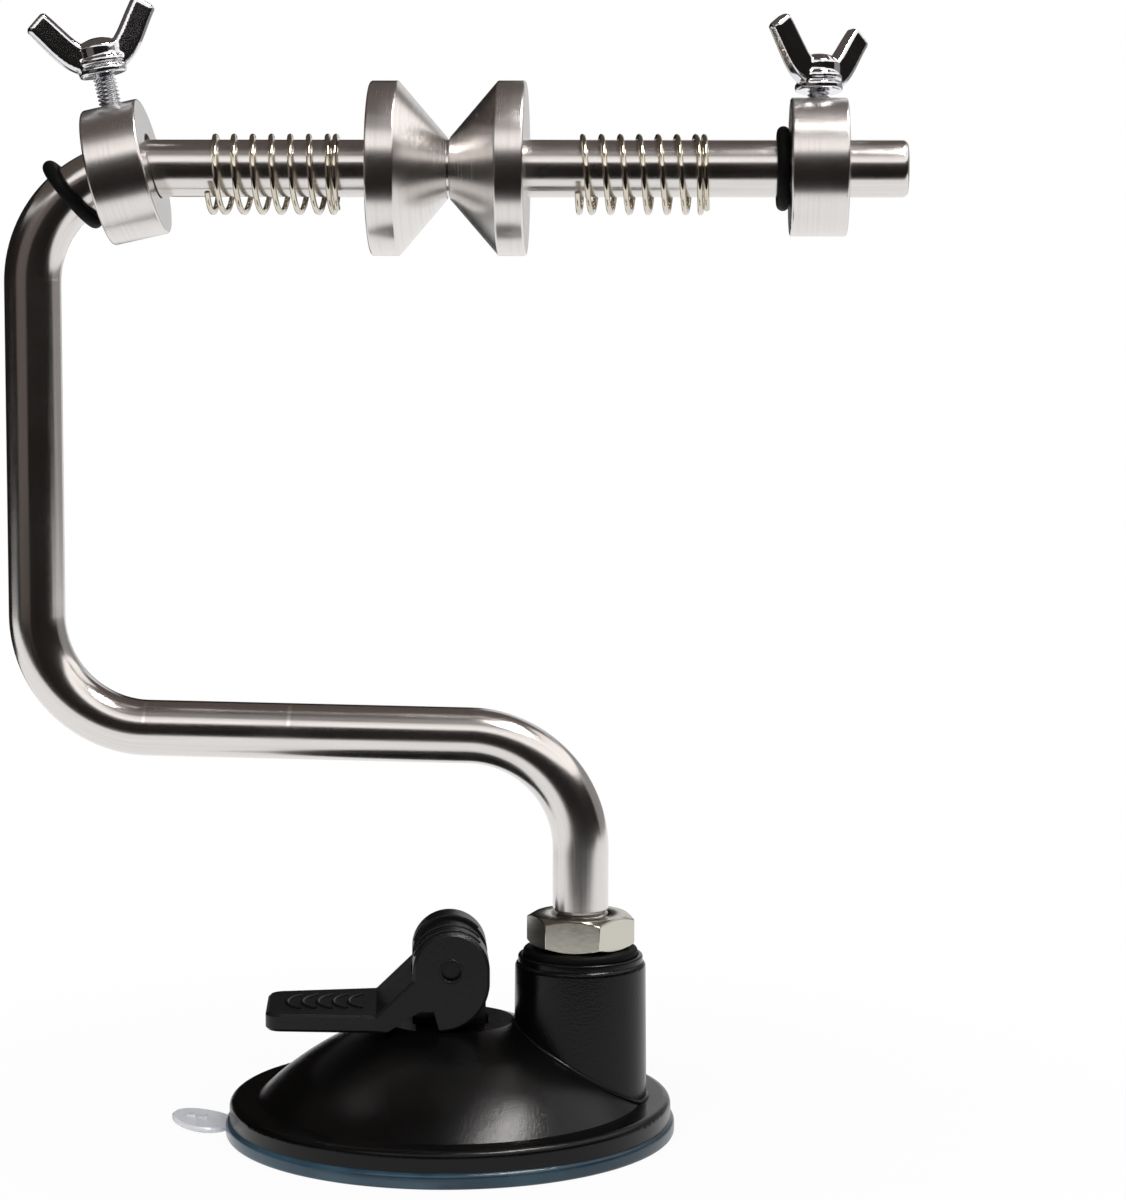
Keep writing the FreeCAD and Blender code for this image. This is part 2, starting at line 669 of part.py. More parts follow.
def make_lever_pin():
    pin = document.addObject("Part::Cylinder", "lever_pin_cylinder")
    length = size.lever_width - size.pin_recess * 2
    pin.setExpression("Radius", pin_radius.text)
    pin.setExpression("Height", length.text)
    half = length / 2
    spot = (-half * sine(size.lever_turn), half * cosine(size.lever_turn), pin_height)
    place(pin, spot, rotation(Z_AXIS, size.lever_turn.value).multiply(rotation(X_AXIS, 90)))
    document.recompute()
    keep(pin, "lever_pin")


# ---- rod ---------------------------------------------------------------------------------

def make_arm():
    body = new_body("arm")
    bend = size.bend_radius
    upright = -size.upright_distance
    # The lower run slopes, so its bends turn a little less than a right angle.
    aside = bend * sine(size.lower_run_fall)
    aloft = bend * cosine(size.lower_run_fall)
    foot_centre_x = size.post_distance - bend
    foot_centre_height = size.lower_run_height - bend
    corner_centre_x = upright + bend
    fall = (foot_centre_x - corner_centre_x + aside * 2) * tangent(size.lower_run_fall)
    corner_centre_height = foot_centre_height + aloft * 2 + fall
    path = sketch_on(body, "RodLine", "XZ_Plane")
    outline(path, [
        (size.spindle_reach, size.spindle_height),
        (upright + bend, size.spindle_height),
        (upright, size.spindle_height - bend),
        (upright, corner_centre_height),
        (corner_centre_x - aside, corner_centre_height - aloft),
        (foot_centre_x + aside, foot_centre_height + aloft),
        (size.post_distance, foot_centre_height),
        (size.post_distance, size.shank_top_height)],
        arcs={1: (bend, -1), 3: (bend, -1), 5: (bend, 1)}, closed=False)
    section = sketch_on(body, "RodSection", "YZ_Plane", size.spindle_reach)
    circle(section, 0, size.spindle_height, rod_radius)
    document.recompute()
    rod = feature(body, "AdditivePipe", "Rod", section)
    rod.Spine = (path, ["Edge%d" % number for number in range(1, len(path.Shape.Edges) + 1)])
    rod.Transition = "Transformed"
    path.Visibility = False
    document.recompute()
    shank = sketch_on(body, "ShankOutline", "XY_Plane", size.shank_foot_height)
    circle(shank, size.post_distance, 0, shank_radius)
    pad(body, "Shank", shank, size.shank_top_height - size.shank_foot_height)
    reach = size.spindle_reach.value
    round_edges(body, "FreeEndRound", size.rod_end_round,
                lambda edge: is_circle_along_x(edge, rod_radius) and edge.BoundBox.XMax > reach - 0.001)


# ---- what the spindle carries --------------------------------------------------------------

def make_cone(label, spot, facing):
    """A turned cone, its tip at spot, opening along X (facing 0) or against it (facing 180)."""
    body = new_body(label)
    bore = rod_radius + size.running_clearance
    section = sketch_on(body, "ConeSection", "XZ_Plane")
    outline(section, [
        (0, bore),
        (0, bore + size.cone_tip_wall),
        (size.cone_length - size.cone_rim, size.cone_radius),
        (size.cone_length, size.cone_radius),
        (size.cone_length, bore)])
    revolve(body, "ConeTurned", section, "H_Axis")
    round_edges(body, "ConeEdgeRound", size.cone_edge_round,
                lambda edge: is_circle_along_x(edge, size.cone_radius))
    place(body, (spot, 0, size.spindle_height), rotation(Z_AXIS, facing))


def make_coil(label, wire, mean_radius, rise, turns, axis, spot):
    """An open coil of round wire from spot along the body's axis, which is H_Axis or V_Axis."""
    body = new_body(label)
    section = sketch_on(body, "WireSection", "XZ_Plane")
    across, up = (0, mean_radius) if axis == "H_Axis" else (mean_radius, 0)
    circle(section, across, up, wire / 2)
    document.recompute()
    coil = feature(body, "AdditiveHelix", "Coil", section)
    coil.ReferenceAxis = (section, [axis])
    coil.Mode = "height-turns-angle"
    coil.setExpression("Height", as_size(rise).text)
    coil.setExpression("Turns", turns.text)
    coil.Angle = 0.0
    place(body, spot)
    document.recompute()


def make_spindle_spring(label, low_end):
    """A spring that hangs on the rod by its upper turns."""
    mean_radius = (size.spring_diameter - size.spring_wire) / 2
    hang = mean_radius - size.spring_wire / 2 - rod_radius - size.seat_gap
    make_coil(label, size.spring_wire, mean_radius, size.spring_length - size.spring_wire, size.spring_turns,
              "H_Axis", (low_end + size.spring_wire / 2, 0, size.spindle_height - hang))


def make_release_spring():
    low = size.pad_boss_height + size.release_wire / 2 + size.seat_gap
    high = crown_underside - size.release_wire / 2 - size.seat_gap
    make_coil("release_spring", size.release_wire, size.release_radius, high - low, size.release_turns,
              "V_Axis", (0, 0, low))


def collar_frames():
    """Where the collars' screws stand: {name: (collar's middle, its rotation)}."""
    inner_lean = rotation(X_AXIS, -size.inner_screw_lean.value)
    outer_lean = rotation(X_AXIS, -size.outer_screw_lean.value)
    rise = FreeCAD.Vector(0, 0, size.collar_rise.value)
    on_spindle = FreeCAD.Vector(size.outer_collar_place.value, 0, size.spindle_height.value)
    round_bend = rotation(Y_AXIS, -size.inner_collar_angle.value)
    tipped = rotation(Y_AXIS, -size.inner_collar_angle.value - size.inner_collar_tip.value)
    bend_centre = FreeCAD.Vector(bend_centre_x.value, 0, bend_centre_height.value)
    # The bore is straight and the rod is curved: this distance splits the play evenly.
    half_width = size.collar_width.value / 2
    bore = collar_bore_radius.value
    inside = size.bend_radius.value - rod_radius.value
    outermost = size.bend_radius.value + rod_radius.value - bore
    innermost = math.sqrt(inside ** 2 - half_width ** 2) + bore
    on_bend = bend_centre + round_bend.multVec(FreeCAD.Vector(0, 0, (outermost + innermost) / 2))
    return {"outer": (on_spindle + outer_lean.multVec(rise), outer_lean),
            "inner": (on_bend, tipped.multiply(inner_lean))}


def make_collar(label, middle, turn):
    body = new_body(label)
    half_width = size.collar_width / 2
    section = sketch_on(body, "CollarSection", "XZ_Plane")
    outline(section, [(-half_width, collar_bore_radius), (half_width, collar_bore_radius),
                      (half_width, size.collar_radius), (-half_width, size.collar_radius)])
    revolve(body, "CollarTurned", section, "H_Axis")
    round_edges(body, "CollarEdgeRound", size.collar_edge_round,
                lambda edge: is_circle_along_x(edge, size.collar_radius))
    hole = sketch_on(body, "ScrewHoleOutline", "XY_Plane")
    circle(hole, 0, 0, stud_radius + size.running_clearance)
    pocket(body, "ScrewHole", hole, size.collar_radius + size.cut_run, reverse=True)
    body.Placement = FreeCAD.Placement(middle, turn)


def make_screw_stud(label, spot, turn):
    body = new_body(label)
    section = sketch_on(body, "StudSection", "XZ_Plane")
    point = stud_radius - size.stud_chamfer
    outline(section, [(0, -size.stud_length), (point, -size.stud_length),
                      (stud_radius, size.stud_chamfer - size.stud_length),
                      (stud_radius, size.stud_grip), (0, size.stud_grip)])
    revolve(body, "StudTurned", section)
    body.Placement = FreeCAD.Placement(spot, turn)


def make_wing_head(label, spot, turn):
    body = new_body(label)
    ring = size.hub_height / 4
    half_span = size.wing_span / 2
    root = size.hub_radius - size.hub_groove
    root_height = size.wing_height - (half_span - size.hub_radius)
    right_side = [
        (size.hub_radius, ring * 1.5),
        ((half_span + size.hub_radius) / 2, (size.wing_shoulder_height + ring) / 2),
        (half_span, size.wing_shoulder_height),
        (half_span - size.wing_tip_inset, size.wing_height),
        (root, root_height),
        (root / 2, size.hub_height - size.hub_groove)]
    left_side = [(-across, up) for across, up in reversed(right_side)]
    wings = sketch_on(body, "WingsOutline", "XZ_Plane")
    outline(wings, right_side + left_side)
    pad(body, "Wings", wings, size.wing_thickness, both_ways=True)
    half_thickness = size.wing_thickness.value / 2
    round_edges(body, "WingEdgeRound", size.wing_edge_round,
                lambda edge: abs(abs(edge.BoundBox.Center.y) - half_thickness) < 0.001)
    hub = sketch_on(body, "HubSection", "XZ_Plane")
    outline(hub, [
        (0, 0),
        (size.hub_radius, 0),
        (size.hub_radius, ring - size.hub_groove),
        (size.hub_radius - size.hub_groove, ring),
        (size.hub_radius, ring + size.hub_groove),
        (size.hub_radius, ring * 2),
        (size.hub_radius - size.hub_groove * 2, size.hub_height),
        (0, size.hub_height)])
    revolve(body, "Hub", hub)
    hole = sketch_on(body, "StudHoleOutline", "XY_Plane")
    circle(hole, 0, 0, stud_radius + size.fixed_clearance)
    pocket(body, "StudHole", hole, size.stud_grip + size.fixed_clearance, reverse=True)
    body.Placement = FreeCAD.Placement(spot, turn)


def make_oring(label, spot, turn):
    ring = document.addObject("Part::Torus", label + "_torus")
    section_radius = size.oring_section / 2
    middle = rod_radius + section_radius + size.running_clearance
    ring.setExpression("Radius1", middle.text)
    ring.setExpression("Radius2", section_radius.text)
    ring.Placement = FreeCAD.Placement(spot, turn)
    document.recompute()
    keep(ring, label)


def make_orings():
    section_radius = size.oring_section.value / 2
    collar_face = size.outer_collar_place.value - size.collar_width.value / 2
    outer_spot = FreeCAD.Vector(collar_face - section_radius - size.seat_gap.value, 0, size.spindle_height.value)
    make_oring("outer_oring", outer_spot, rotation(Y_AXIS, 90))
    round_bend = rotation(Y_AXIS, -size.inner_oring_angle.value)
    bend_centre = FreeCAD.Vector(bend_centre_x.value, 0, bend_centre_height.value)
    inner_spot = bend_centre + round_bend.multVec(FreeCAD.Vector(0, 0, size.bend_radius.value))
    make_oring("inner_oring", inner_spot, round_bend.multiply(rotation(Y_AXIS, 90)))


def make_clamps():
    """Both collars with their wing screws."""
    frames = collar_frames()
    for side, stand, wing_turn in (("inner", size.inner_screw_stand, size.inner_wing_turn),
                                   ("outer", size.outer_screw_stand, size.outer_wing_turn)):
        middle, turn = frames[side]
        make_collar(side + "_collar", middle, turn)
        head_foot = FreeCAD.Vector(0, 0, size.collar_radius.value + stand.value)
        spot = middle + turn.multVec(head_foot)
        make_screw_stud(side + "_screw_stud", spot, turn)
        make_wing_head(side + "_wing_head", spot, turn.multiply(rotation(Z_AXIS, wing_turn.value)))


# ---- the whole winder -----------------------------------------------------------------------

make_suction_pad()
make_base_shell()
make_threaded_insert()
make_seat_washer()
make_lock_nut()
make_stem()
make_cam_lever()
make_lever_pin()
make_release_spring()
make_arm()
make_cone("outer_cone", size.cone_place, 0)
make_cone("inner_cone", size.cone_place - size.cone_gap, 180)
make_spindle_spring("inner_spring", -size.inner_spring_place)
make_spindle_spring("outer_spring", size.outer_spring_place)
make_clamps()
make_orings()
document.recompute()

for item in document.Objects:
    if "Invalid" in item.State or "Error" in item.State:
        raise RuntimeError("%s (%s) failed: %s" % (item.Name, item.Label, item.State))
for sub_part in sub_parts:
    shape = sub_part.Shape
    if shape.isNull() or not shape.isValid() or len(shape.Solids) != 1:
        raise RuntimeError("%s isn't one valid solid" % sub_part.Label)

os.makedirs("parts", exist_ok=True)
for sub_part in sub_parts:
    sub_part.Shape.exportStep(os.path.join("parts", sub_part.Label + ".step"))
    print("%-16s %10.1f mm3" % (sub_part.Label, sub_part.Shape.Volume))
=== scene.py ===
import math

import bmesh
import bpy
from mathutils import Euler, Matrix, Vector


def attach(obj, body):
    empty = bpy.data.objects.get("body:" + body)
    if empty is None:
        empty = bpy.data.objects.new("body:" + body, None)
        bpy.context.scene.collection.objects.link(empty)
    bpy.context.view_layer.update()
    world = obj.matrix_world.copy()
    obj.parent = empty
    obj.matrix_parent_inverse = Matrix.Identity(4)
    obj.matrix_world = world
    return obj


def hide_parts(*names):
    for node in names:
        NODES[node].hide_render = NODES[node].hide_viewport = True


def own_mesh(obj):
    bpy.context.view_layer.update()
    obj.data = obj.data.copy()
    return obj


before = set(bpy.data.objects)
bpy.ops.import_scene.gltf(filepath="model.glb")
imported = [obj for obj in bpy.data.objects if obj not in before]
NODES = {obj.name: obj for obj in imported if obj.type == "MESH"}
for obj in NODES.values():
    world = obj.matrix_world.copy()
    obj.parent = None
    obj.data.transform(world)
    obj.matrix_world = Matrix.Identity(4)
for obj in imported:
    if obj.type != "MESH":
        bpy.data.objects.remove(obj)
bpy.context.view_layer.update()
MM = 0.001


# ---- sizes in millimetres, turns in degrees ----

ROD_RADIUS = 5.0
ROD_END_ROUND = 1.0
SPINDLE_HEIGHT = 172.1
SPINDLE_REACH = 80.3
UPRIGHT_X = -73.9
LOWER_RUN_HEIGHT = 71.7
LOWER_RUN_FALL = 1.0
POST_X = 23.4
BEND_RADIUS = 20.2
SHANK_TOP = 40.3
# Places of the painted glint ticks on the rod.
BEND_GLINT_PLACES = (164.0, 254.8, 280.7)  # along the rod from its free end
SHANK_FOOT = 13.5
SHANK_RADIUS = 4.95
SHANK_PITCH = 1.5
STUD_RADIUS = 2.0
STUD_PITCH = 0.7
STUD_LENGTH = 8.55
NUT_WIDTH = 17.0
NUT_THICKNESS = 6.0
NUT_FOOT = 33.75
NUT_TURN = 8.0
NUT_CHAMFER = 30.0
CONE_RADIUS = 15.25
CONE_LENGTH = 13.4
CONE_RIM = 4.9
CONE_GAP = 0.5
CONE_PLACE = 0.2
COLLAR_RADIUS = 12.05
COLLAR_BORE = 5.8
COLLAR_WIDTH = 10.0
COLLAR_RISE = 0.27
OUTER_COLLAR_X = 64.7
INNER_COLLAR_ANGLE = 9.8
INNER_COLLAR_TIP = 2.9
INNER_LEAN = 1.5
OUTER_LEAN = 9.0
INNER_STAND = 5.3
OUTER_STAND = 1.3
INNER_WING_TURN = 19.0
OUTER_WING_TURN = 42.0
SPRING_RADIUS = 6.6
SPRING_WIRE = 1.0
SPRING_LENGTH = 22.5
SPRING_TURNS = 8.1
INNER_SPRING_X = -41.9
OUTER_SPRING_X = 22.7
SPRING_DROP = 1.05
HUB_RADIUS = 4.2
WING_MIDLINE = ((1.0, 2.8), (4.9, 2.8), (6.2, 6.6), (9.6, 11.0))
WING_WIDTH = 4.8
WING_THICKNESS = 2.7
PAD_RADIUS = 40.4
PAD_THICKNESS = 2.8
PAD_LAND = 33.0
PAD_LIFT = 4.15
PAD_SKIN = 2.2
PAD_BOSS_RADIUS = 10.6
PAD_BOSS_TOP = 9.6
TAB_REACH = 50.5
TAB_THICKNESS = 1.0
TAB_LIFT = 1.5
TAB_LIFT_START = 41.0
TAB_MIDDLE = 44.8
TAB_HALF_LENGTH = 5.7
TAB_HALF_WIDTH = 6.3
TAB_NECK_HALF_WIDTH = 4.4
CROWN_RADIUS = 11.5
CROWN_HEIGHT = 20.2
DOME_BULGE_RADIUS = 55.0
DOME_FOOT_RADIUS = 34.6
FLANGE_TOP = 6.4
TOWER_RADIUS = 11.95
TOWER_TOP = 31.3
TOWER_STEP_RADII = (10.35, 11.2)
LEVER_TURN = 5.0
PIN_HEIGHT = 31.3
CHEEK_RADIUS = 6.8
LEVER_HALF_WIDTH = 11.7
HANDLE_TOP = 23.5
RIDGE_COUNT = 5
RIDGE_START = -29.3
RIDGE_STEP = 2.75
RIDGE_RADIUS = 7.5
RING_PLACES = (-9.2, -4.3, 4.3)
EYE_RADIUS = 2.0


# ---- node graphs ----

class Graph:
    """Adds nodes to one tree; a socket given as an input is linked, anything else is set."""

    def __init__(self, tree):
        self.tree = tree

    def add(self, kind, inputs=None, **settings):
        node = self.tree.nodes.new(kind)
        for name, value in settings.items():
            setattr(node, name, value)
        for name, value in (inputs or {}).items():
            self.feed(node.inputs[name], value)
        return node

    def feed(self, socket, value):
        if isinstance(value, bpy.types.NodeSocket):
            self.tree.links.new(value, socket)
        else:
            socket.default_value = value

    def math(self, operation, first, second=0.0, clamp=False):
        node = self.add("ShaderNodeMath", {0: first, 1: second}, operation=operation, use_clamp=clamp)
        return node.outputs[0]

    def times(self, first, second):
        return self.math("MULTIPLY", first, second)

    def plus(self, first, second):
        return self.math("ADD", first, second)

    def minus(self, first, second):
        return self.math("SUBTRACT", first, second)

    def remap(self, value, low, high, new_low=0.0, new_high=1.0):
        node = self.add("ShaderNodeMapRange", {"Value": value, "From Min": low, "From Max": high,
                                               "To Min": new_low, "To Max": new_high})
        return node.outputs["Result"]

    def noise(self, vector, scale, detail=2.0, roughness=0.5, distortion=0.0):
        node = self.add("ShaderNodeTexNoise", {"Vector": vector, "Scale": scale, "Detail": detail,
                                               "Roughness": roughness, "Distortion": distortion})
        return node.outputs["Fac"]

    def blend(self, factor, first, second):
        node = self.add("ShaderNodeMix", data_type="RGBA")
        self.feed(node.inputs[0], factor)
        self.feed(node.inputs[6], first)
        self.feed(node.inputs[7], second)
        return node.outputs[2]

    def bump(self, height, strength, distance):
        node = self.add("ShaderNodeBump", {"Strength": strength, "Distance": distance, "Height": height})
        return node.outputs["Normal"]


def shader_group(name, inputs, outputs):
    """An empty shader group with named sockets, as (tree, graph, group input, group output)."""
    tree = bpy.data.node_groups.new(name, "ShaderNodeTree")
    for label, kind, value in inputs:
        socket = tree.interface.new_socket(label, in_out="INPUT", socket_type=kind)
        if value is not None:
            socket.default_value = value
    for label, kind in outputs:
        tree.interface.new_socket(label, in_out="OUTPUT", socket_type=kind)
    graph = Graph(tree)
    return tree, graph, tree.nodes.new("NodeGroupInput"), tree.nodes.new("NodeGroupOutput")


def turned_grain_group():
    """Lines left by a lathe: they run round the X axis of the vector that comes in. Also a mask of painted
    glints: scattered white specks.
    """
    tree, graph, given, out = shader_group(
        "turned_grain",
        [("Vector", "NodeSocketVector", None), ("Fine lines", "NodeSocketFloat", 9000.0),
         ("Coarse lines", "NodeSocketFloat", 1500.0)],
        [("Lines", "NodeSocketFloat"), ("Bands", "NodeSocketFloat"), ("Painted glints", "NodeSocketFloat")])
    parts = graph.add("ShaderNodeSeparateXYZ", {"Vector": given.outputs["Vector"]})
    across = graph.math("POWER", parts.outputs["Y"], 2.0)
    up = graph.math("POWER", parts.outputs["Z"], 2.0)
    radius = graph.math("SQRT", graph.plus(across, up))
    place = graph.add("ShaderNodeCombineXYZ", {"X": parts.outputs["X"], "Y": radius, "Z": 0.0}).outputs[0]
    graph.feed(out.inputs["Lines"], graph.noise(place, given.outputs["Fine lines"], 3.0, 0.7))
    graph.feed(out.inputs["Bands"], graph.noise(place, given.outputs["Coarse lines"], 2.0, 0.6))
    # Painted glints: a mask of sparse specks, used to lighten the colour as glints of light.
    glint_specks = graph.noise(given.outputs["Vector"], 3500.0, 2.0, 0.8)
    graph.feed(out.inputs["Painted glints"], graph.remap(glint_specks, 0.6, 0.8))
    return tree


def handling_group():
    """Faint blotches and hairline scratches from handling."""
    tree, graph, given, out = shader_group(
        "handling",
        [("Vector", "NodeSocketVector", None), ("Scale", "NodeSocketFloat", 60.0)],
        [("Blotches", "NodeSocketFloat"), ("Scratches", "NodeSocketFloat")])
    blotches = graph.noise(given.outputs["Vector"], given.outputs["Scale"], 4.0, 0.6)
    graph.feed(out.inputs["Blotches"], graph.remap(blotches, 0.3, 0.7))
    turned = graph.add("ShaderNodeMapping", {"Vector": given.outputs["Vector"], "Rotation": (0.5, 0.9, 0.3),
                                             "Scale": (6.0, 0.35, 1.0)}).outputs[0]
    streaks = graph.noise(turned, graph.times(given.outputs["Scale"], 8.0), 3.0, 0.6, 0.4)
    graph.feed(out.inputs["Scratches"], graph.remap(streaks, 0.66, 0.72))
    return tree


def moulded_group():
    """The fine pebble of a moulded surface."""
    tree, graph, given, out = shader_group(
        "moulded_surface",
        [("Vector", "NodeSocketVector", None), ("Pebble", "NodeSocketFloat", 2500.0)],
        [("Height", "NodeSocketFloat"), ("Dust", "NodeSocketFloat")])
    pebble = graph.noise(given.outputs["Vector"], given.outputs["Pebble"], 2.0, 0.5)
    graph.feed(out.inputs["Height"], pebble)
    dust = graph.noise(given.outputs["Vector"], 420.0, 5.0, 0.75)
    graph.feed(out.inputs["Dust"], graph.remap(dust, 0.62, 0.8))
    return tree


TURNED_GRAIN = turned_grain_group()
HANDLING = handling_group()
MOULDED = moulded_group()


def new_material(name, color, metallic, roughness, **sockets):
    """A Principled material, as (material, graph, shader, object coordinates)."""
    material = bpy.data.materials.new(name)
    material.use_nodes = True
    graph = Graph(material.node_tree)
    shader = material.node_tree.nodes["Principled BSDF"]
    shader.inputs["Base Color"].default_value = (*color, 1.0)
    shader.inputs["Metallic"].default_value = metallic
    shader.inputs["Roughness"].default_value = roughness
    for label, value in sockets.items():
        shader.inputs[label.replace("_", " ")].default_value = value
    place = graph.add("ShaderNodeTexCoord").outputs["Object"]
    return material, graph, shader, place


def use_group(graph, tree, **inputs):
    node = graph.add("ShaderNodeGroup", node_tree=tree)
    for label, value in inputs.items():
        graph.feed(node.inputs[label.replace("_", " ")], value)
    return node


def set_surface(graph, shader, color, roughness, normal):
    for label, value in (("Base Color", color), ("Roughness", roughness), ("Normal", normal)):
        graph.feed(shader.inputs[label], value)


def centred(graph, place, middle, turn=None):
    """The coordinates moved and turned into a piece's own frame: its middle at the origin."""
    offset = graph.add("ShaderNodeVectorMath", {0: place, 1: tuple(middle)}, operation="SUBTRACT").outputs[0]
    if turn is None:
        return offset
    angles = turn.to_matrix().inverted().to_euler()
    return graph.add("ShaderNodeMapping", {"Vector": offset, "Rotation": tuple(angles)}).outputs[0]


def turned_aluminium(name, middle, turn=None):
    material, graph, shader, place = new_material(name, (0.66, 0.63, 0.61), 1.0, 0.26)
    own = centred(graph, place, middle, turn)
    grain = use_group(graph, TURNED_GRAIN, Vector=own)
    marks = use_group(graph, HANDLING, Vector=place, Scale=90.0)
    tone = graph.remap(grain.outputs["Bands"], 0.3, 0.7)
    color = graph.blend(tone, (0.73, 0.70, 0.68, 1.0), (0.78, 0.755, 0.735, 1.0))
    # Painted highlight: the glint specks lighten the colour towards white.
    color = graph.blend(graph.times(grain.outputs["Painted glints"], 0.35), color, (0.95, 0.94, 0.92, 1.0))
    rough = graph.remap(grain.outputs["Lines"], 0.25, 0.75, 0.21, 0.25)
    rough = graph.plus(rough, graph.times(marks.outputs["Blotches"], 0.04))
    set_surface(graph, shader, color, rough, graph.bump(grain.outputs["Lines"], 0.06, 0.00001))
    return material


def bend_glints(graph, along):
    """Painted glints: short bright ticks across the rod, only on its upper side facing the front; along is
    its own place on the rod.
    """
    parts = graph.add("ShaderNodeSeparateXYZ", {"Vector": along}).outputs
    marks = 0.0
    for place in BEND_GLINT_PLACES:
        apart = graph.math("ABSOLUTE", graph.minus(parts["Z"], place * MM))
        marks = graph.math("MAXIMUM", marks, graph.remap(apart, 0.0002, 0.00042, 1.0, 0.0))
    near = graph.math("LESS_THAN", parts["X"], 0.0)
    low = graph.math("GREATER_THAN", parts["Y"], ROD_RADIUS * 0.3 * MM)
    high = graph.math("LESS_THAN", parts["Y"], ROD_RADIUS * 0.96 * MM)
    return graph.times(graph.times(marks, near), graph.times(low, high))


def rod_aluminium():
    material, graph, shader, place = new_material("rod_aluminium", (0.62, 0.59, 0.57), 1.0, 0.2)
    along = graph.add("ShaderNodeAttribute", attribute_name="rod_place", attribute_type="GEOMETRY")
    along = along.outputs["Vector"]
    drawn = graph.add("ShaderNodeMapping", {"Vector": along, "Scale": (1.0, 1.0, 0.02)}).outputs[0]
    lines = graph.noise(drawn, 2200.0, 3.0, 0.6)
    marks = use_group(graph, HANDLING, Vector=place, Scale=70.0)
    color = graph.blend(graph.remap(lines, 0.3, 0.7), (0.70, 0.67, 0.65, 1.0), (0.76, 0.735, 0.715, 1.0))
    color = graph.blend(graph.times(marks.outputs["Scratches"], 0.25), color, (0.9, 0.88, 0.86, 1.0))
    # Painted highlight: bright ticks lighten the rod's colour, standing in for glints.
    color = graph.blend(graph.times(bend_glints(graph, along), 0.7), color, (0.97, 0.96, 0.94, 1.0))
    rough = graph.remap(lines, 0.25, 0.75, 0.15, 0.2)
    rough = graph.plus(rough, graph.times(marks.outputs["Blotches"], 0.05))
    set_surface(graph, shader, color, rough, graph.bump(lines, 0.12, 0.00003))
    return material


def plain_metal(name, color, bright, roughness, bump_scale, bump_strength, bump_detail=3.0):
    material, graph, shader, place = new_material(name, color, 1.0, roughness)
    marks = use_group(graph, HANDLING, Vector=place, Scale=160.0)
    tint = graph.blend(graph.times(marks.outputs["Blotches"], 0.5), (*color, 1.0), (*bright, 1.0))
    rough = graph.remap(marks.outputs["Blotches"], 0.0, 1.0, roughness * 0.8, roughness * 1.25)
    height = graph.noise(place, bump_scale, bump_detail)
    set_surface(graph, shader, tint, rough, graph.bump(height, bump_strength, 0.00006))
    return material


def black_plastic(name, color, roughness, specular=0.3):
    material, graph, shader, place = new_material(name, color, 0.0, roughness, Specular_IOR_Level=specular)
    surface = use_group(graph, MOULDED, Vector=place)
    marks = use_group(graph, HANDLING, Vector=place, Scale=45.0)
    dust = graph.times(surface.outputs["Dust"], 0.06)
    lighter = tuple(channel * 3 + 0.02 for channel in color)
    tint = graph.blend(dust, (*color, 1.0), (*lighter, 1.0))
    rough = graph.remap(marks.outputs["Blotches"], 0.0, 1.0, roughness - 0.03, roughness + 0.04)
    set_surface(graph, shader, tint, rough, graph.bump(surface.outputs["Height"], 0.6, 0.00006))
    return material


def black_rubber():
    material, graph, shader, place = new_material("black_rubber", (0.002, 0.002, 0.002), 0.0, 0.6,
                                                  Specular_IOR_Level=0.12)
    surface = use_group(graph, MOULDED, Vector=place, Pebble=1800.0)
    dust = graph.times(surface.outputs["Dust"], 0.3)
    tint = graph.blend(dust, (0.002, 0.002, 0.002, 1.0), (0.016, 0.015, 0.014, 1.0))
    height = surface.outputs["Height"]
    rough = graph.remap(height, 0.3, 0.7, 0.5, 0.68)
    set_surface(graph, shader, tint, rough, graph.bump(height, 0.3, 0.00006))
    return material


def clear_soft(name, deep, pale, clearness):
    material, graph, shader, place = new_material(name, deep, 0.0, 0.22,
                                                  Transmission_Weight=clearness, IOR=1.45)
    surface = use_group(graph, MOULDED, Vector=place, Pebble=900.0)
    cloud = graph.noise(place, 70.0, 3.0)
    tint = graph.blend(graph.remap(cloud, 0.3, 0.7), (*deep, 1.0), (*pale, 1.0))
    rough = graph.remap(cloud, 0.3, 0.7, 0.15, 0.3)
    set_surface(graph, shader, tint, rough, graph.bump(surface.outputs["Height"], 0.1, 0.00008))
    return material


# ---- frames of the clamped pieces ----

def about(axis, degrees):
    return Matrix.Rotation(math.radians(degrees), 3, axis)


BEND_CENTRE = Vector((UPRIGHT_X + BEND_RADIUS, 0, SPINDLE_HEIGHT - BEND_RADIUS))
INNER_COLLAR_TURN = about("Y", -INNER_COLLAR_ANGLE - INNER_COLLAR_TIP) @ about("X", -INNER_LEAN)
OUTER_COLLAR_TURN = about("X", -OUTER_LEAN)
INSIDE_BEND = math.sqrt((BEND_RADIUS - ROD_RADIUS) ** 2 - (COLLAR_WIDTH / 2) ** 2) + COLLAR_BORE
OUTSIDE_BEND = BEND_RADIUS + ROD_RADIUS - COLLAR_BORE
COLLAR_SPOT = Vector((0, 0, (INSIDE_BEND + OUTSIDE_BEND) / 2))
INNER_COLLAR_MIDDLE = BEND_CENTRE + about("Y", -INNER_COLLAR_ANGLE) @ COLLAR_SPOT
OUTER_COLLAR_MIDDLE = (Vector((OUTER_COLLAR_X, 0, SPINDLE_HEIGHT)) +
                       OUTER_COLLAR_TURN @ Vector((0, 0, COLLAR_RISE)))
INNER_HEAD_SPOT = INNER_COLLAR_MIDDLE + INNER_COLLAR_TURN @ Vector((0, 0, COLLAR_RADIUS + INNER_STAND))
OUTER_HEAD_SPOT = OUTER_COLLAR_MIDDLE + OUTER_COLLAR_TURN @ Vector((0, 0, COLLAR_RADIUS + OUTER_STAND))
SPINDLE_MIDDLE = Vector((0, 0, SPINDLE_HEIGHT))


# ---- meshes ----

def new_object(name, data):
    made = bpy.data.objects.new(name, data)
    bpy.context.scene.collection.objects.link(made)
    return made


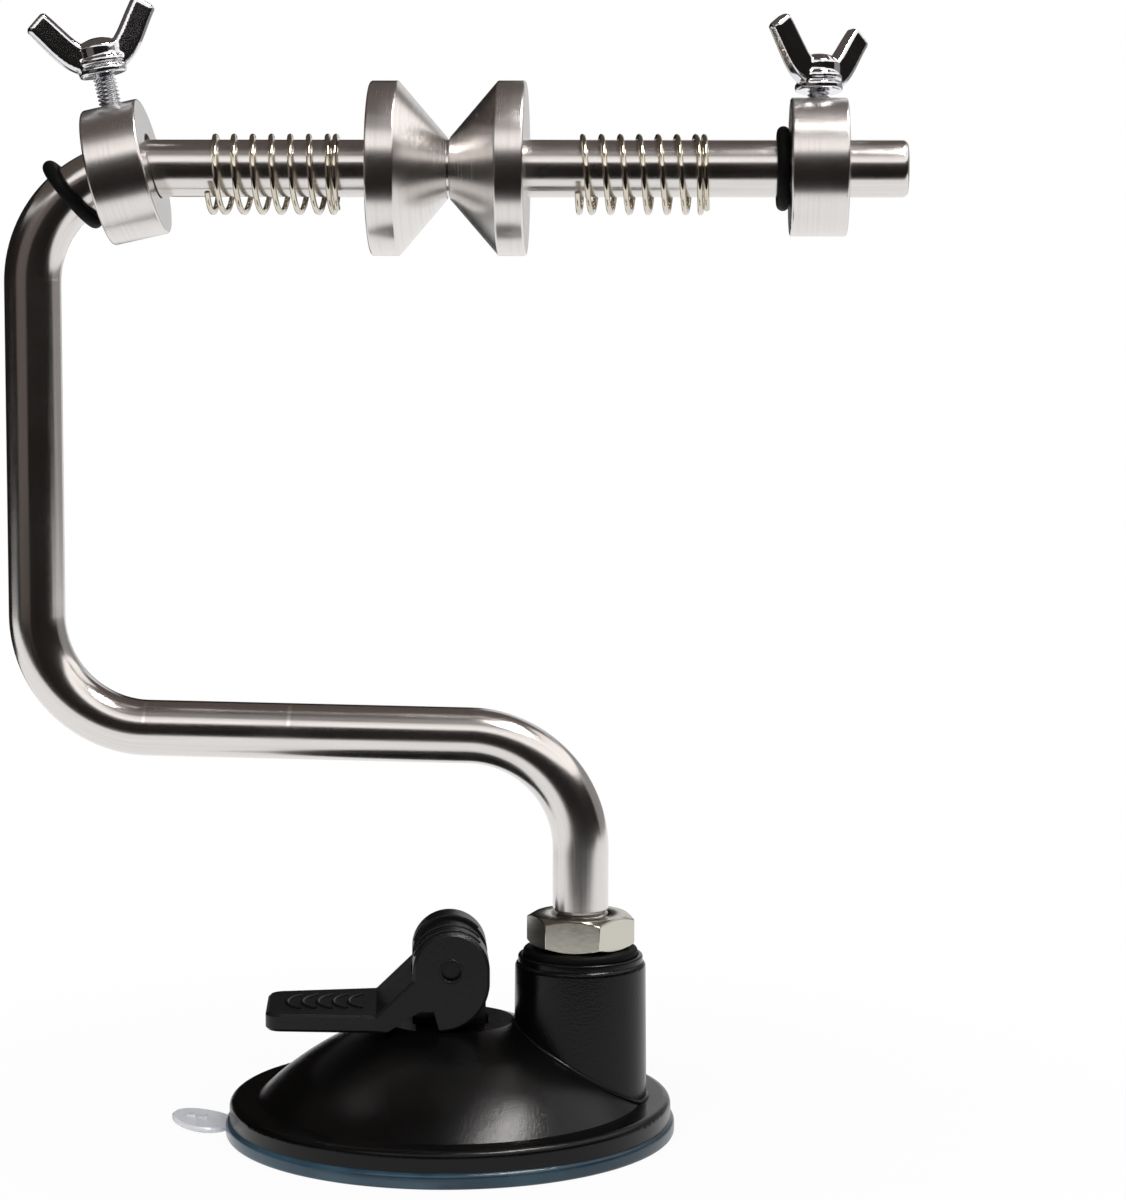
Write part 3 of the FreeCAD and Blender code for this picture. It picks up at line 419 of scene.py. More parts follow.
def evaluated_mesh(name, carrier):
    """A plain mesh of what an object's modifiers or bevel make; the object itself goes."""
    bpy.context.view_layer.update()
    depsgraph = bpy.context.evaluated_depsgraph_get()
    mesh = bpy.data.meshes.new_from_object(carrier.evaluated_get(depsgraph))
    carrier.modifiers.clear()
    bpy.data.objects.remove(carrier)
    mesh.name = name
    return mesh


def finish_piece(name, mesh, material, body, replaced, sharp=math.radians(35)):
    """Puts a finished mesh in the scene, riding its body in place of its CAD nodes."""
    mesh.materials.clear()
    mesh.materials.append(material)
    for polygon in mesh.polygons:
        polygon.use_smooth = True
        polygon.material_index = 0
    mesh.set_sharp_from_angle(angle=sharp)
    piece = new_object(name, mesh)
    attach(piece, body)
    if replaced:
        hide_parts(*replaced)
    return piece


def mesh_from(name, spots, faces):
    """A mesh of points in millimetres, its normals made to point outwards."""
    mesh = bpy.data.meshes.new(name)
    mesh.from_pydata([tuple(Vector(spot) * MM) for spot in spots], [], faces)
    work = bmesh.new()
    work.from_mesh(mesh)
    bmesh.ops.remove_doubles(work, verts=work.verts, dist=1e-7)
    bmesh.ops.recalc_face_normals(work, faces=work.faces)
    work.to_mesh(mesh)
    work.free()
    return mesh


def ring_faces(rings, count, closed=False):
    """Faces between neighbouring rings of points; closed joins the last ring to the first."""
    faces = []
    for ring in range(rings if closed else rings - 1):
        here, there = ring * count, (ring + 1) % rings * count
        for index in range(count):
            following = (index + 1) % count
            faces.append((here + index, here + following, there + following, there + index))
    return faces


def lathe_mesh(name, outline, middle, turn, segments=128):
    """Turns a closed outline of (along X, radius) round the X axis of a frame."""
    spots = []
    for step in range(segments):
        angle = math.tau * step / segments
        for along, radius in outline:
            local = Vector((along, radius * math.cos(angle), radius * math.sin(angle)))
            spots.append(middle + turn @ local)
    return mesh_from(name, spots, ring_faces(segments, len(outline), True))


def rounded(corners, radii, steps=5):
    """A closed outline whose corners are rounded with arcs of the given radii."""
    outline = []
    count = len(corners)
    for index, (corner, radius) in enumerate(zip(corners, radii)):
        corner = Vector(corner)
        if radius == 0:
            outline.append(tuple(corner))
            continue
        before = (Vector(corners[index - 1]) - corner).normalized()
        after = (Vector(corners[(index + 1) % count]) - corner).normalized()
        half = before.angle(after) / 2
        centre = corner + (before + after).normalized() * (radius / math.sin(half))
        first = corner + before * (radius / math.tan(half)) - centre
        last = corner + after * (radius / math.tan(half)) - centre
        sweep = first.angle_signed(last)
        for step in range(steps + 1):
            spin = Matrix.Rotation(-sweep * step / steps, 2)
            outline.append(tuple(centre + spin @ first))
    return outline


def threaded_mesh(name, middle, turn, low, high, radius, pitch, point):
    """A threaded rod along the Z axis of a frame, from low to high, narrowed over its point."""
    segments, per_pitch = 40, 8
    depth = 0.6 * pitch
    rows = int((high - low) / pitch * per_pitch)
    spots = []
    for row in range(rows + 1):
        height = low + (high - low) * row / rows
        for step in range(segments):
            angle = math.tau * step / segments
            phase = (height / pitch - step / segments) % 1.0
            crest = min(1.0, max(0.0, 1.25 - abs(phase - 0.5) * 3.2))
            out = radius - depth * (1 - crest)
            fade = min(1.0, (height - low + 0.01) / point)
            out = min(out, radius - point * (1 - fade))
            spots.append(middle + turn @ Vector((out * math.cos(angle), out * math.sin(angle), height)))
    faces = ring_faces(rows + 1, segments)
    spots.append(middle + turn @ Vector((0, 0, low)))
    spots.append(middle + turn @ Vector((0, 0, high)))
    foot, top = len(spots) - 2, len(spots) - 1
    for step in range(segments):
        side = (step + 1) % segments
        faces.append((side, step, foot))
        faces.append((rows * segments + step, rows * segments + side, top))
    return mesh_from(name, spots, faces)


# ---- the rod ----

def rod_stations():
    """Points down the rod's centreline from its free end, as (place, direction)."""
    stations = []

    def straight(first, last, pieces):
        first, last = Vector(first), Vector(last)
        for step in range(pieces):
            stations.append((first.lerp(last, step / pieces), (last - first).normalized()))

    def bend(centre, start, sweep, pieces=28):
        for step in range(pieces):
            angle = math.radians(start + sweep * step / pieces)
            out = Vector((math.cos(angle), 0, math.sin(angle)))
            way = Vector((-math.sin(angle), 0, math.cos(angle))) * math.copysign(1, sweep)
            stations.append((Vector(centre) + out * BEND_RADIUS, way))

    top, upright, fall = SPINDLE_HEIGHT, UPRIGHT_X, math.radians(LOWER_RUN_FALL)
    aside, aloft = BEND_RADIUS * math.sin(fall), BEND_RADIUS * math.cos(fall)
    corner = Vector((upright + BEND_RADIUS, 0, 0))
    foot = Vector((POST_X - BEND_RADIUS, 0, LOWER_RUN_HEIGHT - BEND_RADIUS))
    corner.z = foot.z + aloft * 2 + (foot.x - corner.x + aside * 2) * math.tan(fall)
    straight((SPINDLE_REACH - ROD_END_ROUND, 0, top), (upright + BEND_RADIUS, 0, top), 60)
    bend((upright + BEND_RADIUS, 0, top - BEND_RADIUS), 90, 90)
    straight((upright, 0, top - BEND_RADIUS), (upright, 0, corner.z), 24)
    bend(corner, 180, 90 - LOWER_RUN_FALL)
    straight(corner + Vector((-aside, 0, -aloft)), foot + Vector((aside, 0, aloft)), 24)
    bend(foot, 90 - LOWER_RUN_FALL, LOWER_RUN_FALL - 90)
    straight((POST_X, 0, foot.z), (POST_X, 0, SHANK_TOP + 0.4), 8)
    stations.append((Vector((POST_X, 0, SHANK_TOP + 0.4)), Vector((0, 0, -1))))
    return stations


def rod_mesh():
    """The bent rod: rounded free end, plain run, and the chamfer above its thread."""
    segments = 72
    stations = rod_stations()
    first_place, first_way = stations[0]
    rings = []
    for angle in (0, 15, 30, 45, 60, 75):
        swing = math.radians(angle)
        place = first_place - first_way * (ROD_END_ROUND * math.cos(swing))
        radius = ROD_RADIUS - ROD_END_ROUND + ROD_END_ROUND * math.sin(swing)
        rings.append((place, first_way, radius, -1.0))
    travelled = 0.0
    previous = first_place
    for place, way in stations:
        travelled += (place - previous).length
        previous = place
        rings.append((place, way, ROD_RADIUS, travelled))
    place, way = stations[-1]
    rings.append((place + way * 0.6, way, SHANK_RADIUS - 0.55, travelled + 0.6))
    spots, along = [], []
    for place, way, radius, length in rings:
        side = Vector((0, 1, 0))
        up = way.cross(side).normalized()
        for step in range(segments):
            angle = math.tau * step / segments
            out = side * math.cos(angle) + up * math.sin(angle)
            spots.append(place + out * radius)
            along.append(Vector((math.cos(angle) * ROD_RADIUS, math.sin(angle) * ROD_RADIUS, length)) * MM)
    faces = ring_faces(len(rings), segments)
    for ring in (0, len(rings) - 1):
        place, _, _, length = rings[ring]
        spots.append(place)
        along.append(Vector((0, 0, length)) * MM)
        for step in range(segments):
            side = (step + 1) % segments
            faces.append((ring * segments + step, ring * segments + side, len(spots) - 1))
    mesh = bpy.data.meshes.new("rod")
    mesh.from_pydata([tuple(spot * MM) for spot in spots], [], faces)
    work = bmesh.new()
    work.from_mesh(mesh)
    bmesh.ops.recalc_face_normals(work, faces=work.faces)
    work.to_mesh(mesh)
    work.free()
    attribute = mesh.attributes.new("rod_place", "FLOAT_VECTOR", "POINT")
    attribute.data.foreach_set("vector", [value for spot in along for value in spot])
    return mesh


def make_rod(material, thread_material):
    finish_piece("rod", rod_mesh(), material, "arm", ["arm"])
    thread = threaded_mesh("rod_thread", Vector((POST_X, 0, 0)), Matrix.Identity(3), SHANK_FOOT,
                           SHANK_TOP + 0.2, SHANK_RADIUS, SHANK_PITCH, 1.0)
    finish_piece("rod_thread", thread, thread_material, "arm", [])


# ---- turned pieces ----

def cone_outline():
    bore = ROD_RADIUS + 0.08
    corners = [(0, bore), (0, bore + 0.35), (CONE_LENGTH - CONE_RIM, CONE_RADIUS),
               (CONE_LENGTH, CONE_RADIUS), (CONE_LENGTH, bore)]
    return rounded(corners, [0, 0.12, 0.5, 0.45, 0.2])


def make_cones(material):
    half_turn = about("Z", 180)
    tip = SPINDLE_MIDDLE + Vector((CONE_PLACE, 0, 0))
    outer = lathe_mesh("outer_cone_turned", cone_outline(), tip, Matrix.Identity(3), 160)
    inner = lathe_mesh("inner_cone_turned", cone_outline(), tip - Vector((CONE_GAP, 0, 0)), half_turn, 160)
    finish_piece("outer_cone_turned", outer, material, "outer_cone", ["outer_cone"])
    finish_piece("inner_cone_turned", inner, material, "inner_cone", ["inner_cone"])


# ---- springs ----

def spring_tree():
    """A coil along X whose end turns lie closed."""
    tree = bpy.data.node_groups.new("coil_spring", "GeometryNodeTree")
    tree.interface.new_socket("Geometry", in_out="OUTPUT", socket_type="NodeSocketGeometry")
    for label, value in (("Turns", 8.1), ("Length", 0.0225), ("Radius", 0.0066), ("Wire", 0.001),
                         ("Closed low", 0.67), ("Closed high", 1.25), ("Closed pitch", 0.0011),
                         ("Start", 2.09)):
        socket = tree.interface.new_socket(label, in_out="INPUT", socket_type="NodeSocketFloat")
        socket.default_value = value
    tree.interface.new_socket("Material", in_out="INPUT", socket_type="NodeSocketMaterial")
    graph = Graph(tree)
    given = tree.nodes.new("NodeGroupInput").outputs
    out = tree.nodes.new("NodeGroupOutput")
    line = graph.add("GeometryNodeCurvePrimitiveLine").outputs["Curve"]
    points = graph.add("GeometryNodeResampleCurve", {"Curve": line, "Count": 460}).outputs["Curve"]
    share = graph.add("GeometryNodeSplineParameter").outputs["Factor"]
    turn = graph.times(share, given["Turns"])
    angle = graph.plus(graph.times(turn, math.tau), given["Start"])
    closed = graph.plus(given["Closed low"], given["Closed high"])
    opened = graph.minus(given["Turns"], closed)
    closed_rise = graph.times(closed, given["Closed pitch"])
    middle_rise = graph.minus(given["Length"], closed_rise)
    low = graph.times(graph.math("MINIMUM", turn, given["Closed low"]), given["Closed pitch"])
    open_turn = graph.math("MAXIMUM", graph.minus(turn, given["Closed low"]), 0.0)
    middle = graph.math("DIVIDE", graph.math("MINIMUM", open_turn, opened), opened)
    middle = graph.times(middle, middle_rise)
    high_turn = graph.math("MAXIMUM", graph.minus(open_turn, opened), 0.0)
    high = graph.times(high_turn, given["Closed pitch"])
    along = graph.plus(graph.plus(low, middle), high)
    across = graph.times(graph.math("SINE", angle), graph.times(given["Radius"], -1.0))
    up = graph.times(graph.math("COSINE", angle), given["Radius"])
    place = graph.add("ShaderNodeCombineXYZ", {"X": along, "Y": across, "Z": up}).outputs[0]
    coil = graph.add("GeometryNodeSetPosition", {"Geometry": points, "Position": place}).outputs[0]
    ring = graph.add("GeometryNodeCurvePrimitiveCircle", {"Resolution": 14}).outputs["Curve"]
    sized = graph.add("GeometryNodeTransform", {"Geometry": ring}).outputs[0]
    wire_radius = graph.times(given["Wire"], 0.5)
    scale = graph.add("ShaderNodeCombineXYZ", {axis: wire_radius for axis in "XYZ"}).outputs[0]
    graph.feed(sized.node.inputs["Scale"], scale)
    tube = graph.add("GeometryNodeCurveToMesh",
                     {"Curve": coil, "Profile Curve": sized, "Fill Caps": True}).outputs[0]
    real = graph.add("GeometryNodeRealizeInstances", {"Geometry": tube}).outputs[0]
    dressed = graph.add("GeometryNodeSetMaterial", {"Geometry": real, "Material": given["Material"]})
    graph.feed(out.inputs["Geometry"], dressed.outputs[0])
    return tree


def grown_mesh(name, tree, **inputs):
    """Runs a geometry tree on an empty mesh and returns its result as a plain mesh."""
    seed = new_object(name + "_seed", bpy.data.meshes.new(name + "_seed"))
    modifier = seed.modifiers.new("grow", "NODES")
    modifier.node_group = tree
    names = {item.name: item.identifier for item in tree.interface.items_tree if item.in_out == "INPUT"}
    for label, value in inputs.items():
        modifier[names[label.replace("_", " ")]] = value
    return evaluated_mesh(name, seed)


def make_springs(material):
    tree = spring_tree()
    for side, start in (("inner", INNER_SPRING_X), ("outer", OUTER_SPRING_X)):
        mesh = grown_mesh(side + "_spring_coil", tree, Turns=SPRING_TURNS, Length=SPRING_LENGTH * MM,
                          Radius=SPRING_RADIUS * MM, Wire=SPRING_WIRE * MM, Material=material)
        mesh.transform(Matrix.Translation(Vector((start, 0, SPINDLE_HEIGHT - SPRING_DROP)) * MM))
        finish_piece(side + "_spring_coil", mesh, material, side + "_spring", [side + "_spring"])


# ---- nut, screws and wing heads ----

def bevelled(mesh, width, least_angle=20.0):
    """Rounds every edge of a mesh that is sharper than an angle."""
    work = bmesh.new()
    work.from_mesh(mesh)
    edges = [edge for edge in work.edges
             if edge.is_manifold and edge.calc_face_angle() > math.radians(least_angle)]
    bmesh.ops.bevel(work, geom=edges, offset=width * MM, segments=2, profile=0.5, affect="EDGES",
                    clamp_overlap=True)
    work.to_mesh(mesh)
    work.free()
    return mesh


def nut_mesh():
    """A hexagon nut: a cone cuts its corners at both ends, as the chamfer of a real one."""
    segments = 144
    flat, bore, lip = NUT_WIDTH / 2, SHANK_RADIUS + 0.02, 0.5
    circle = flat * 0.975
    spots = []
    for step in range(segments):
        angle = math.tau * step / segments
        reach = flat / math.cos(angle % (math.pi / 3) - math.pi / 6)
        drop = (reach - circle) * math.tan(math.radians(NUT_CHAMFER))
        column = ((bore + lip, 0), (circle, 0), (reach, drop), (reach, NUT_THICKNESS - drop),
                  (circle, NUT_THICKNESS), (bore + lip, NUT_THICKNESS), (bore, NUT_THICKNESS - lip),
                  (bore, lip))
        turned = angle - math.radians(NUT_TURN)
        for radius, height in column:
            spots.append((POST_X + radius * math.cos(turned), radius * math.sin(turned), NUT_FOOT + height))
    return bevelled(mesh_from("nut", spots, ring_faces(segments, 8, True)), 0.24)


def joined(name, pieces):
    """Several meshes as one."""
    work = bmesh.new()
    for piece in pieces:
        work.from_mesh(piece)
        bpy.data.meshes.remove(piece)
    mesh = bpy.data.meshes.new(name)
    work.to_mesh(mesh)
    work.free()
    return mesh


def fused(name, mesh, voxel, rounds):
    """Overlapping shells melted into one skin, with its edges softened, as cast metal has them."""
    seed = new_object(name + "_seed", mesh)
    melt = seed.modifiers.new("melt", "REMESH")
    melt.mode = "VOXEL"
    melt.voxel_size = voxel * MM
    soften = seed.modifiers.new("soften", "SMOOTH")
    soften.factor = 0.5
    soften.iterations = rounds
    return evaluated_mesh(name, seed)


def wing_mesh(name, spot, turn):
    """One wing: a flat bar swept up and out along its middle line, in the X-Z plane of a frame."""
    first, second, third, last = (Vector((along, 0, up)) for along, up in WING_MIDLINE)
    rings = []
    steps = 26
    for step in range(steps + 1):
        share = step / steps
        rest = 1 - share
        place = (first * rest ** 3 + second * 3 * rest ** 2 * share + third * 3 * rest * share ** 2 +
                 last * share ** 3)
        way = ((second - first) * rest ** 2 + (third - second) * 2 * rest * share +
               (last - third) * share ** 2).normalized()
        wide = WING_WIDTH * (1.04 - 0.1 * share)
        thick = WING_THICKNESS * (1.3 - 0.3 * share)
        rings.append((place, way, wide / 2, thick / 2))
    place, way, wide, thick = rings[-1]
    rings.append((place + way * 0.5, way, wide - 0.42, thick - 0.42))
    spots = []
    for place, way, wide, thick in rings:
        across = Vector((-way.z, 0, way.x))
        edge = 0.62
        for wide_share, thick_share in ((-wide, -thick + edge), (-wide + edge, -thick), (wide - edge, -thick),
                                        (wide, -thick + edge), (wide, thick - edge), (wide - edge, thick),
                                        (-wide + edge, thick), (-wide, thick - edge)):
            local = place + across * wide_share + Vector((0, 1, 0)) * thick_share
            spots.append(spot + turn @ local)
    faces = ring_faces(len(rings), 8)
    faces.append(tuple(range(7, -1, -1)))
    faces.append(tuple(range(len(rings) * 8 - 8, len(rings) * 8)))
    return mesh_from(name, spots, faces)


def wing_head_mesh(name, spot, lean, wing_turn):
    """A cast wing head: two rings, a domed boss, and two wings."""
    hub = rounded([(0, 0.02), (0, 3.95), (0.25, HUB_RADIUS), (1.15, HUB_RADIUS), (1.4, 3.6), (1.75, 3.6),
                   (2.0, HUB_RADIUS - 0.1), (2.75, HUB_RADIUS - 0.15), (3.1, 3.55), (4.9, 3.6), (6.1, 2.7),
                   (6.55, 1.3), (6.6, 0.02)], [0] * 13)
    upright = lean @ about("Y", -90)
    parts = [lathe_mesh(name + "_hub", hub, spot, upright, 72)]
    for side in (0, 180):
        parts.append(wing_mesh(name + "_wing", spot, lean @ about("Z", wing_turn + side)))
    return fused(name, joined(name + "_shells", parts), 0.17, 9)


def make_clamps(material):
    for side, spot, turn, wing_turn in (("inner", INNER_HEAD_SPOT, INNER_COLLAR_TURN, INNER_WING_TURN),
                                        ("outer", OUTER_HEAD_SPOT, OUTER_COLLAR_TURN, OUTER_WING_TURN)):
        stud = threaded_mesh(side + "_stud_thread", spot, turn, -STUD_LENGTH, 1.0, STUD_RADIUS,
                             STUD_PITCH, 0.6)
        finish_piece(side + "_stud_thread", stud, material, side + "_stud", [side + "_screw_stud"])
        head = wing_head_mesh(side + "_wing_cast", spot, turn, wing_turn)
        finish_piece(side + "_wing_cast", head, material, side + "_wing", [side + "_wing_head"],
                     math.pi)


def make_nut(material):
    finish_piece("nut_chamfered", nut_mesh(), material, "lock_nut", ["lock_nut"],
                 math.radians(14))


# ---- suction pad ----

def tab_rise(along):
    """How far the pull tab stands off the table at a place along X."""
    return TAB_LIFT * max(0.0, (-TAB_LIFT_START - along) / (TAB_REACH - TAB_LIFT_START)) ** 1.4


def tab_mesh():
    """The pull tab: an oval leaf on a short neck, without the two low bars that sit on it."""
    outline = []
    steps = 40
    for step in range(steps + 1):
        share = step / steps
        along = -PAD_RADIUS + 3.0 - (TAB_REACH - PAD_RADIUS + 3.0) * share
        leaf = math.sqrt(max(0.0, 1 - ((along + TAB_MIDDLE) / TAB_HALF_LENGTH) ** 2)) * TAB_HALF_WIDTH
        neck = TAB_NECK_HALF_WIDTH if share < 0.45 else 0.0
        outline.append((along, max(leaf, neck * (1 - share / 0.6))))
    loop = outline + [(along, -half) for along, half in reversed(outline[:-1])]
    spots = []
    count = len(loop)
    for inset, height in ((0.25, 0.0), (0.0, 0.25), (0.0, TAB_THICKNESS - 0.3), (0.3, TAB_THICKNESS)):
        for along, half in loop:
            shrink = max(0.0, 1 - inset / TAB_HALF_WIDTH)
            place = -TAB_MIDDLE + (along + TAB_MIDDLE) * shrink
            spots.append((place, half * shrink, height + tab_rise(place)))
    faces = ring_faces(4, count)
    faces.append(tuple(range(count - 1, -1, -1)))
    faces.append(tuple(range(3 * count, 4 * count)))
    return mesh_from("tab", spots, faces)


def bar_mesh(middle, half):
    """A small low bar with bevelled edges."""
    spots = []
    for height, inset in ((-half[2], 0.0), (half[2] - 0.15, 0.0), (half[2], 0.15)):
        for x_side, y_side in ((-1, -1), (1, -1), (1, 1), (-1, 1)):
            spots.append((middle[0] + x_side * (half[0] - inset), middle[1] + y_side * (half[1] - inset),
                          middle[2] + height))
    return mesh_from("bar", spots, [(3, 2, 1, 0), (8, 9, 10, 11)] + ring_faces(3, 4))


def make_pad(material, tab_material):
    centre, upright = Vector((0, 0, 0)), about("Y", -90)
    rim = rounded([(0, PAD_LAND - 0.4), (0, PAD_RADIUS), (PAD_THICKNESS, PAD_RADIUS),
                   (PAD_THICKNESS, PAD_LAND - 0.4)], [0, 0.6, 0.9, 0])
    finish_piece("pad_rim", lathe_mesh("pad_rim", rim, centre, upright, 192), material, "base",
                 ["suction_pad"])
    bars = [bar_mesh((along, 0, TAB_THICKNESS + tab_rise(along) + 0.1), (0.8, 0.7, 0.3))
            for along in (-47.0, -44.9)]
    tab = joined("pad_tab", [tab_mesh()] + bars)
    finish_piece("pad_tab", tab, tab_material, "base", [])
    slope = [(0.0, PAD_LAND), (PAD_LIFT * 0.18, 29.0), (PAD_LIFT * 0.58, 23.0), (PAD_LIFT * 0.88, 16.0)]
    boss = [(PAD_LIFT, 8.0), (PAD_LIFT, 0.05), (PAD_BOSS_TOP, 0.05), (PAD_BOSS_TOP, PAD_BOSS_RADIUS - 0.4),
            (PAD_BOSS_TOP - 0.4, PAD_BOSS_RADIUS), (PAD_LIFT + PAD_SKIN + 0.5, PAD_BOSS_RADIUS),
            (PAD_LIFT + PAD_SKIN, PAD_BOSS_RADIUS + 0.8)]
    middle = slope + boss + [(height + PAD_SKIN, radius) for height, radius in reversed(slope)]
    skin = finish_piece("pad_middle", lathe_mesh("pad_middle", middle, centre, upright), material, "base",
                        ["suction_pad"])
    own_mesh(skin)


# ---- small moulded detail ----

def tube_mesh(name, points, radius, closed=False):
    """A round bead along a line of points in millimetres."""
    data = bpy.data.curves.new(name + "_line", "CURVE")
    data.dimensions = "3D"
    data.bevel_depth = radius * MM
    data.bevel_resolution = 3
    data.use_fill_caps = True
    spline = data.splines.new("POLY")
    spline.points.add(len(points) - 1)
    for point, place in zip(spline.points, points):
        point.co = (*(Vector(place) * MM), 1.0)
    spline.use_cyclic_u = closed
    mesh = evaluated_mesh(name, new_object(name + "_line", data))
    bpy.data.curves.remove(data)
    return mesh


def dome_height(radius):
    """The shell's upper face at a distance from its middle."""
    if radius <= CROWN_RADIUS:
        return CROWN_HEIGHT
    if radius >= DOME_FOOT_RADIUS:
        return FLANGE_TOP
    foot, crown = Vector((DOME_FOOT_RADIUS, FLANGE_TOP)), Vector((CROWN_RADIUS, CROWN_HEIGHT))
    chord = crown - foot
    inward = Vector((-chord.y, chord.x)).normalized()
    centre = (foot + crown) / 2 + inward * math.sqrt(DOME_BULGE_RADIUS ** 2 - (chord.length / 2) ** 2)
    return centre.y + math.sqrt(DOME_BULGE_RADIUS ** 2 - (radius - centre.x) ** 2)


def make_shell_detail(material):
    """The fillet where the tower grows out of the dome, and the step on the tower's top."""
    points = []
    for step in range(120):
        angle = math.tau * step / 120
        across = TOWER_RADIUS * math.sin(angle)
        along = POST_X + TOWER_RADIUS * math.cos(angle)
        points.append((along, across, dome_height(math.hypot(along, across))))
    fillet = tube_mesh("tower_fillet", points, 0.5, True)
    finish_piece("tower_fillet", fillet, material, "base", [], math.pi)
    low, high = TOWER_TOP - 0.1, TOWER_TOP + 1.1
    inner, outer = TOWER_STEP_RADII
    outline = rounded([(low, inner), (low, outer), (high, outer), (high, inner)], [0, 0, 0.4, 0.1])
    ring = lathe_mesh("tower_step", outline, Vector((POST_X, 0, 0)), about("Y", -90))
    finish_piece("tower_step", ring, material, "base", [])


def round_pin(turn, radius, angle, across):
    """A point on a circle round the lever's pin."""
    return (turn @ Vector((radius * math.cos(angle), across, 0)) +
            Vector((0, 0, PIN_HEIGHT + radius * math.sin(angle))))


def make_lever_detail(material):
    """Curved grip ridges on the handle, rings round the barrel, and an eye round the pin."""
    turn = about("Z", LEVER_TURN)
    ridges = []
    for number in range(RIDGE_COUNT):
        foot = RIDGE_START + number * RIDGE_STEP
        points = []
        for step in range(25):
            angle = math.radians(180 - 48 + 96 * step / 24)
            along = foot + RIDGE_RADIUS + RIDGE_RADIUS * math.cos(angle)
            points.append(turn @ Vector((along, RIDGE_RADIUS * math.sin(angle), HANDLE_TOP)))
        ridges.append(tube_mesh("ridge", points, 0.38))
    finish_piece("handle_ridges", joined("handle_ridges", ridges), material, "lever", [],
                 math.pi)
    rings = []
    for across in RING_PLACES:
        points = [round_pin(turn, CHEEK_RADIUS, math.radians(42 + 118 * step / 30), across)
                  for step in range(31)]
        rings.append(tube_mesh("ring", points, 0.32))
    eye = [round_pin(turn, EYE_RADIUS, math.tau * step / 36, -LEVER_HALF_WIDTH) for step in range(36)]
    rings.append(tube_mesh("ring", eye, 0.2, True))
    finish_piece("lever_rings", joined("lever_rings", rings), material, "lever", [],
                 math.pi)


# ---- studio ----

WORLD_DIFFUSE = 0.3
WORLD_GLOSSY = 0.75
LAMP_POWER = 7.0
SHEET_EDGE = -0.168
SPHERE_HEIGHT = 0.12
CAMERA_LENS = 96.6
CAMERA_SPOT = (0.040, -0.5690, 0.1515)
CAMERA_TURN = (90 - 5.56, -0.12, 2.01)
DARK_FRONT = (0.014, 0.012, 0.011)
WARM = (1.0, 0.965, 0.95)
BROWN = (0.1, 0.082, 0.074)
# Name, distance in metres, lowest and highest elevation, azimuths, colour, glow at foot and at top.
CARDS = (
    ("dark_front", 0.92, -24, 26, (-100, 97), DARK_FRONT, 1.0, 1.0),
    ("grey_right", 0.91, -24, 24, (97, 160), WARM, 0.3, 0.3),
    ("softbox_front", 0.90, 26, 50, (-48, 62), WARM, 1.5, 0.9),
    ("softbox_right", 0.90, 24, 52, (62, 135), WARM, 1.4, 1.1),
    ("dim_front", 0.94, 50, 70, (-48, 62), WARM, 0.25, 0.25),
    ("dark_above", 0.95, 70, 90, (-180, 180), BROWN, 1.0, 1.0),
    ("dark_back_top", 0.96, 30, 70, (62, 312), BROWN, 1.0, 1.0),
    ("dark_left", 0.97, -8, 30, (-180, -100), DARK_FRONT, 1.0, 1.0),
    ("strip_left", 0.88, -12, 24, (-62, -22), (1.0, 0.86, 0.8), 0.13, 0.13),
    ("near_left", 0.36, -24, -4, (-165, -105), DARK_FRONT, 1.0, 1.0),
    ("key", 0.87, 61.5, 68, (34, 105), WARM, 48.0, 48.0),
)


def bare_graph(holder):
    """The emptied node tree of a material or world."""
    holder.use_nodes = True
    holder.node_tree.nodes.clear()
    return Graph(holder.node_tree)


def bent_card(name, distance, low, high, azimuths, color, foot_glow, top_glow):
    """A card that only reflections see: part of a sphere about a point below the spindle.

    It runs between two elevations and two azimuths, in degrees, with azimuth 0 towards the
    camera's side and counted towards +X, and its glow changes from its foot to its top."""
    steps = 24
    spots, faces = [], []
    for row in range(steps + 1):
        elevation = math.radians(low + (high - low) * row / steps)
        for column in range(steps + 1):
            azimuth = math.radians(azimuths[0] + (azimuths[1] - azimuths[0]) * column / steps)
            way = Vector((math.cos(elevation) * math.sin(azimuth), -math.cos(elevation) * math.cos(azimuth),
                          math.sin(elevation)))
            spots.append(tuple(way * distance + Vector((0, 0, SPHERE_HEIGHT))))
    for row in range(steps):
        for column in range(steps):
            first = row * (steps + 1) + column
            faces.append((first, first + 1, first + steps + 2, first + steps + 1))
    mesh = bpy.data.meshes.new(name)
    mesh.from_pydata(spots, [], faces)
    made = new_object(name, mesh)
    material = bpy.data.materials.new(name)
    graph = bare_graph(material)
    place = graph.add("ShaderNodeTexCoord").outputs["Object"]
    height = graph.add("ShaderNodeSeparateXYZ", {"Vector": place}).outputs["Z"]
    foot = distance * math.sin(math.radians(low)) + SPHERE_HEIGHT
    top = distance * math.sin(math.radians(high)) + SPHERE_HEIGHT
    strength = graph.remap(height, foot, top, foot_glow, top_glow)
    glow = graph.add("ShaderNodeEmission", {"Color": (*color, 1.0), "Strength": strength}).outputs[0]
    graph.add("ShaderNodeOutputMaterial", {"Surface": glow})
    mesh.materials.append(material)
    made.visible_camera = False
    made.visible_diffuse = False
    made.visible_shadow = False
    made.visible_transmission = False
    made.visible_volume_scatter = False


def area_light(name, middle, target, size, power, color):
    data = bpy.data.lights.new(name, "AREA")
    data.shape = "RECTANGLE"
    data.size, data.size_y = size
    data.energy = power
    data.color = color
    lamp = new_object(name, data)
    lamp.location = middle
    lamp.rotation_euler = (Vector(target) - Vector(middle)).to_track_quat("-Z", "Y").to_euler()
    lamp.visible_glossy = False


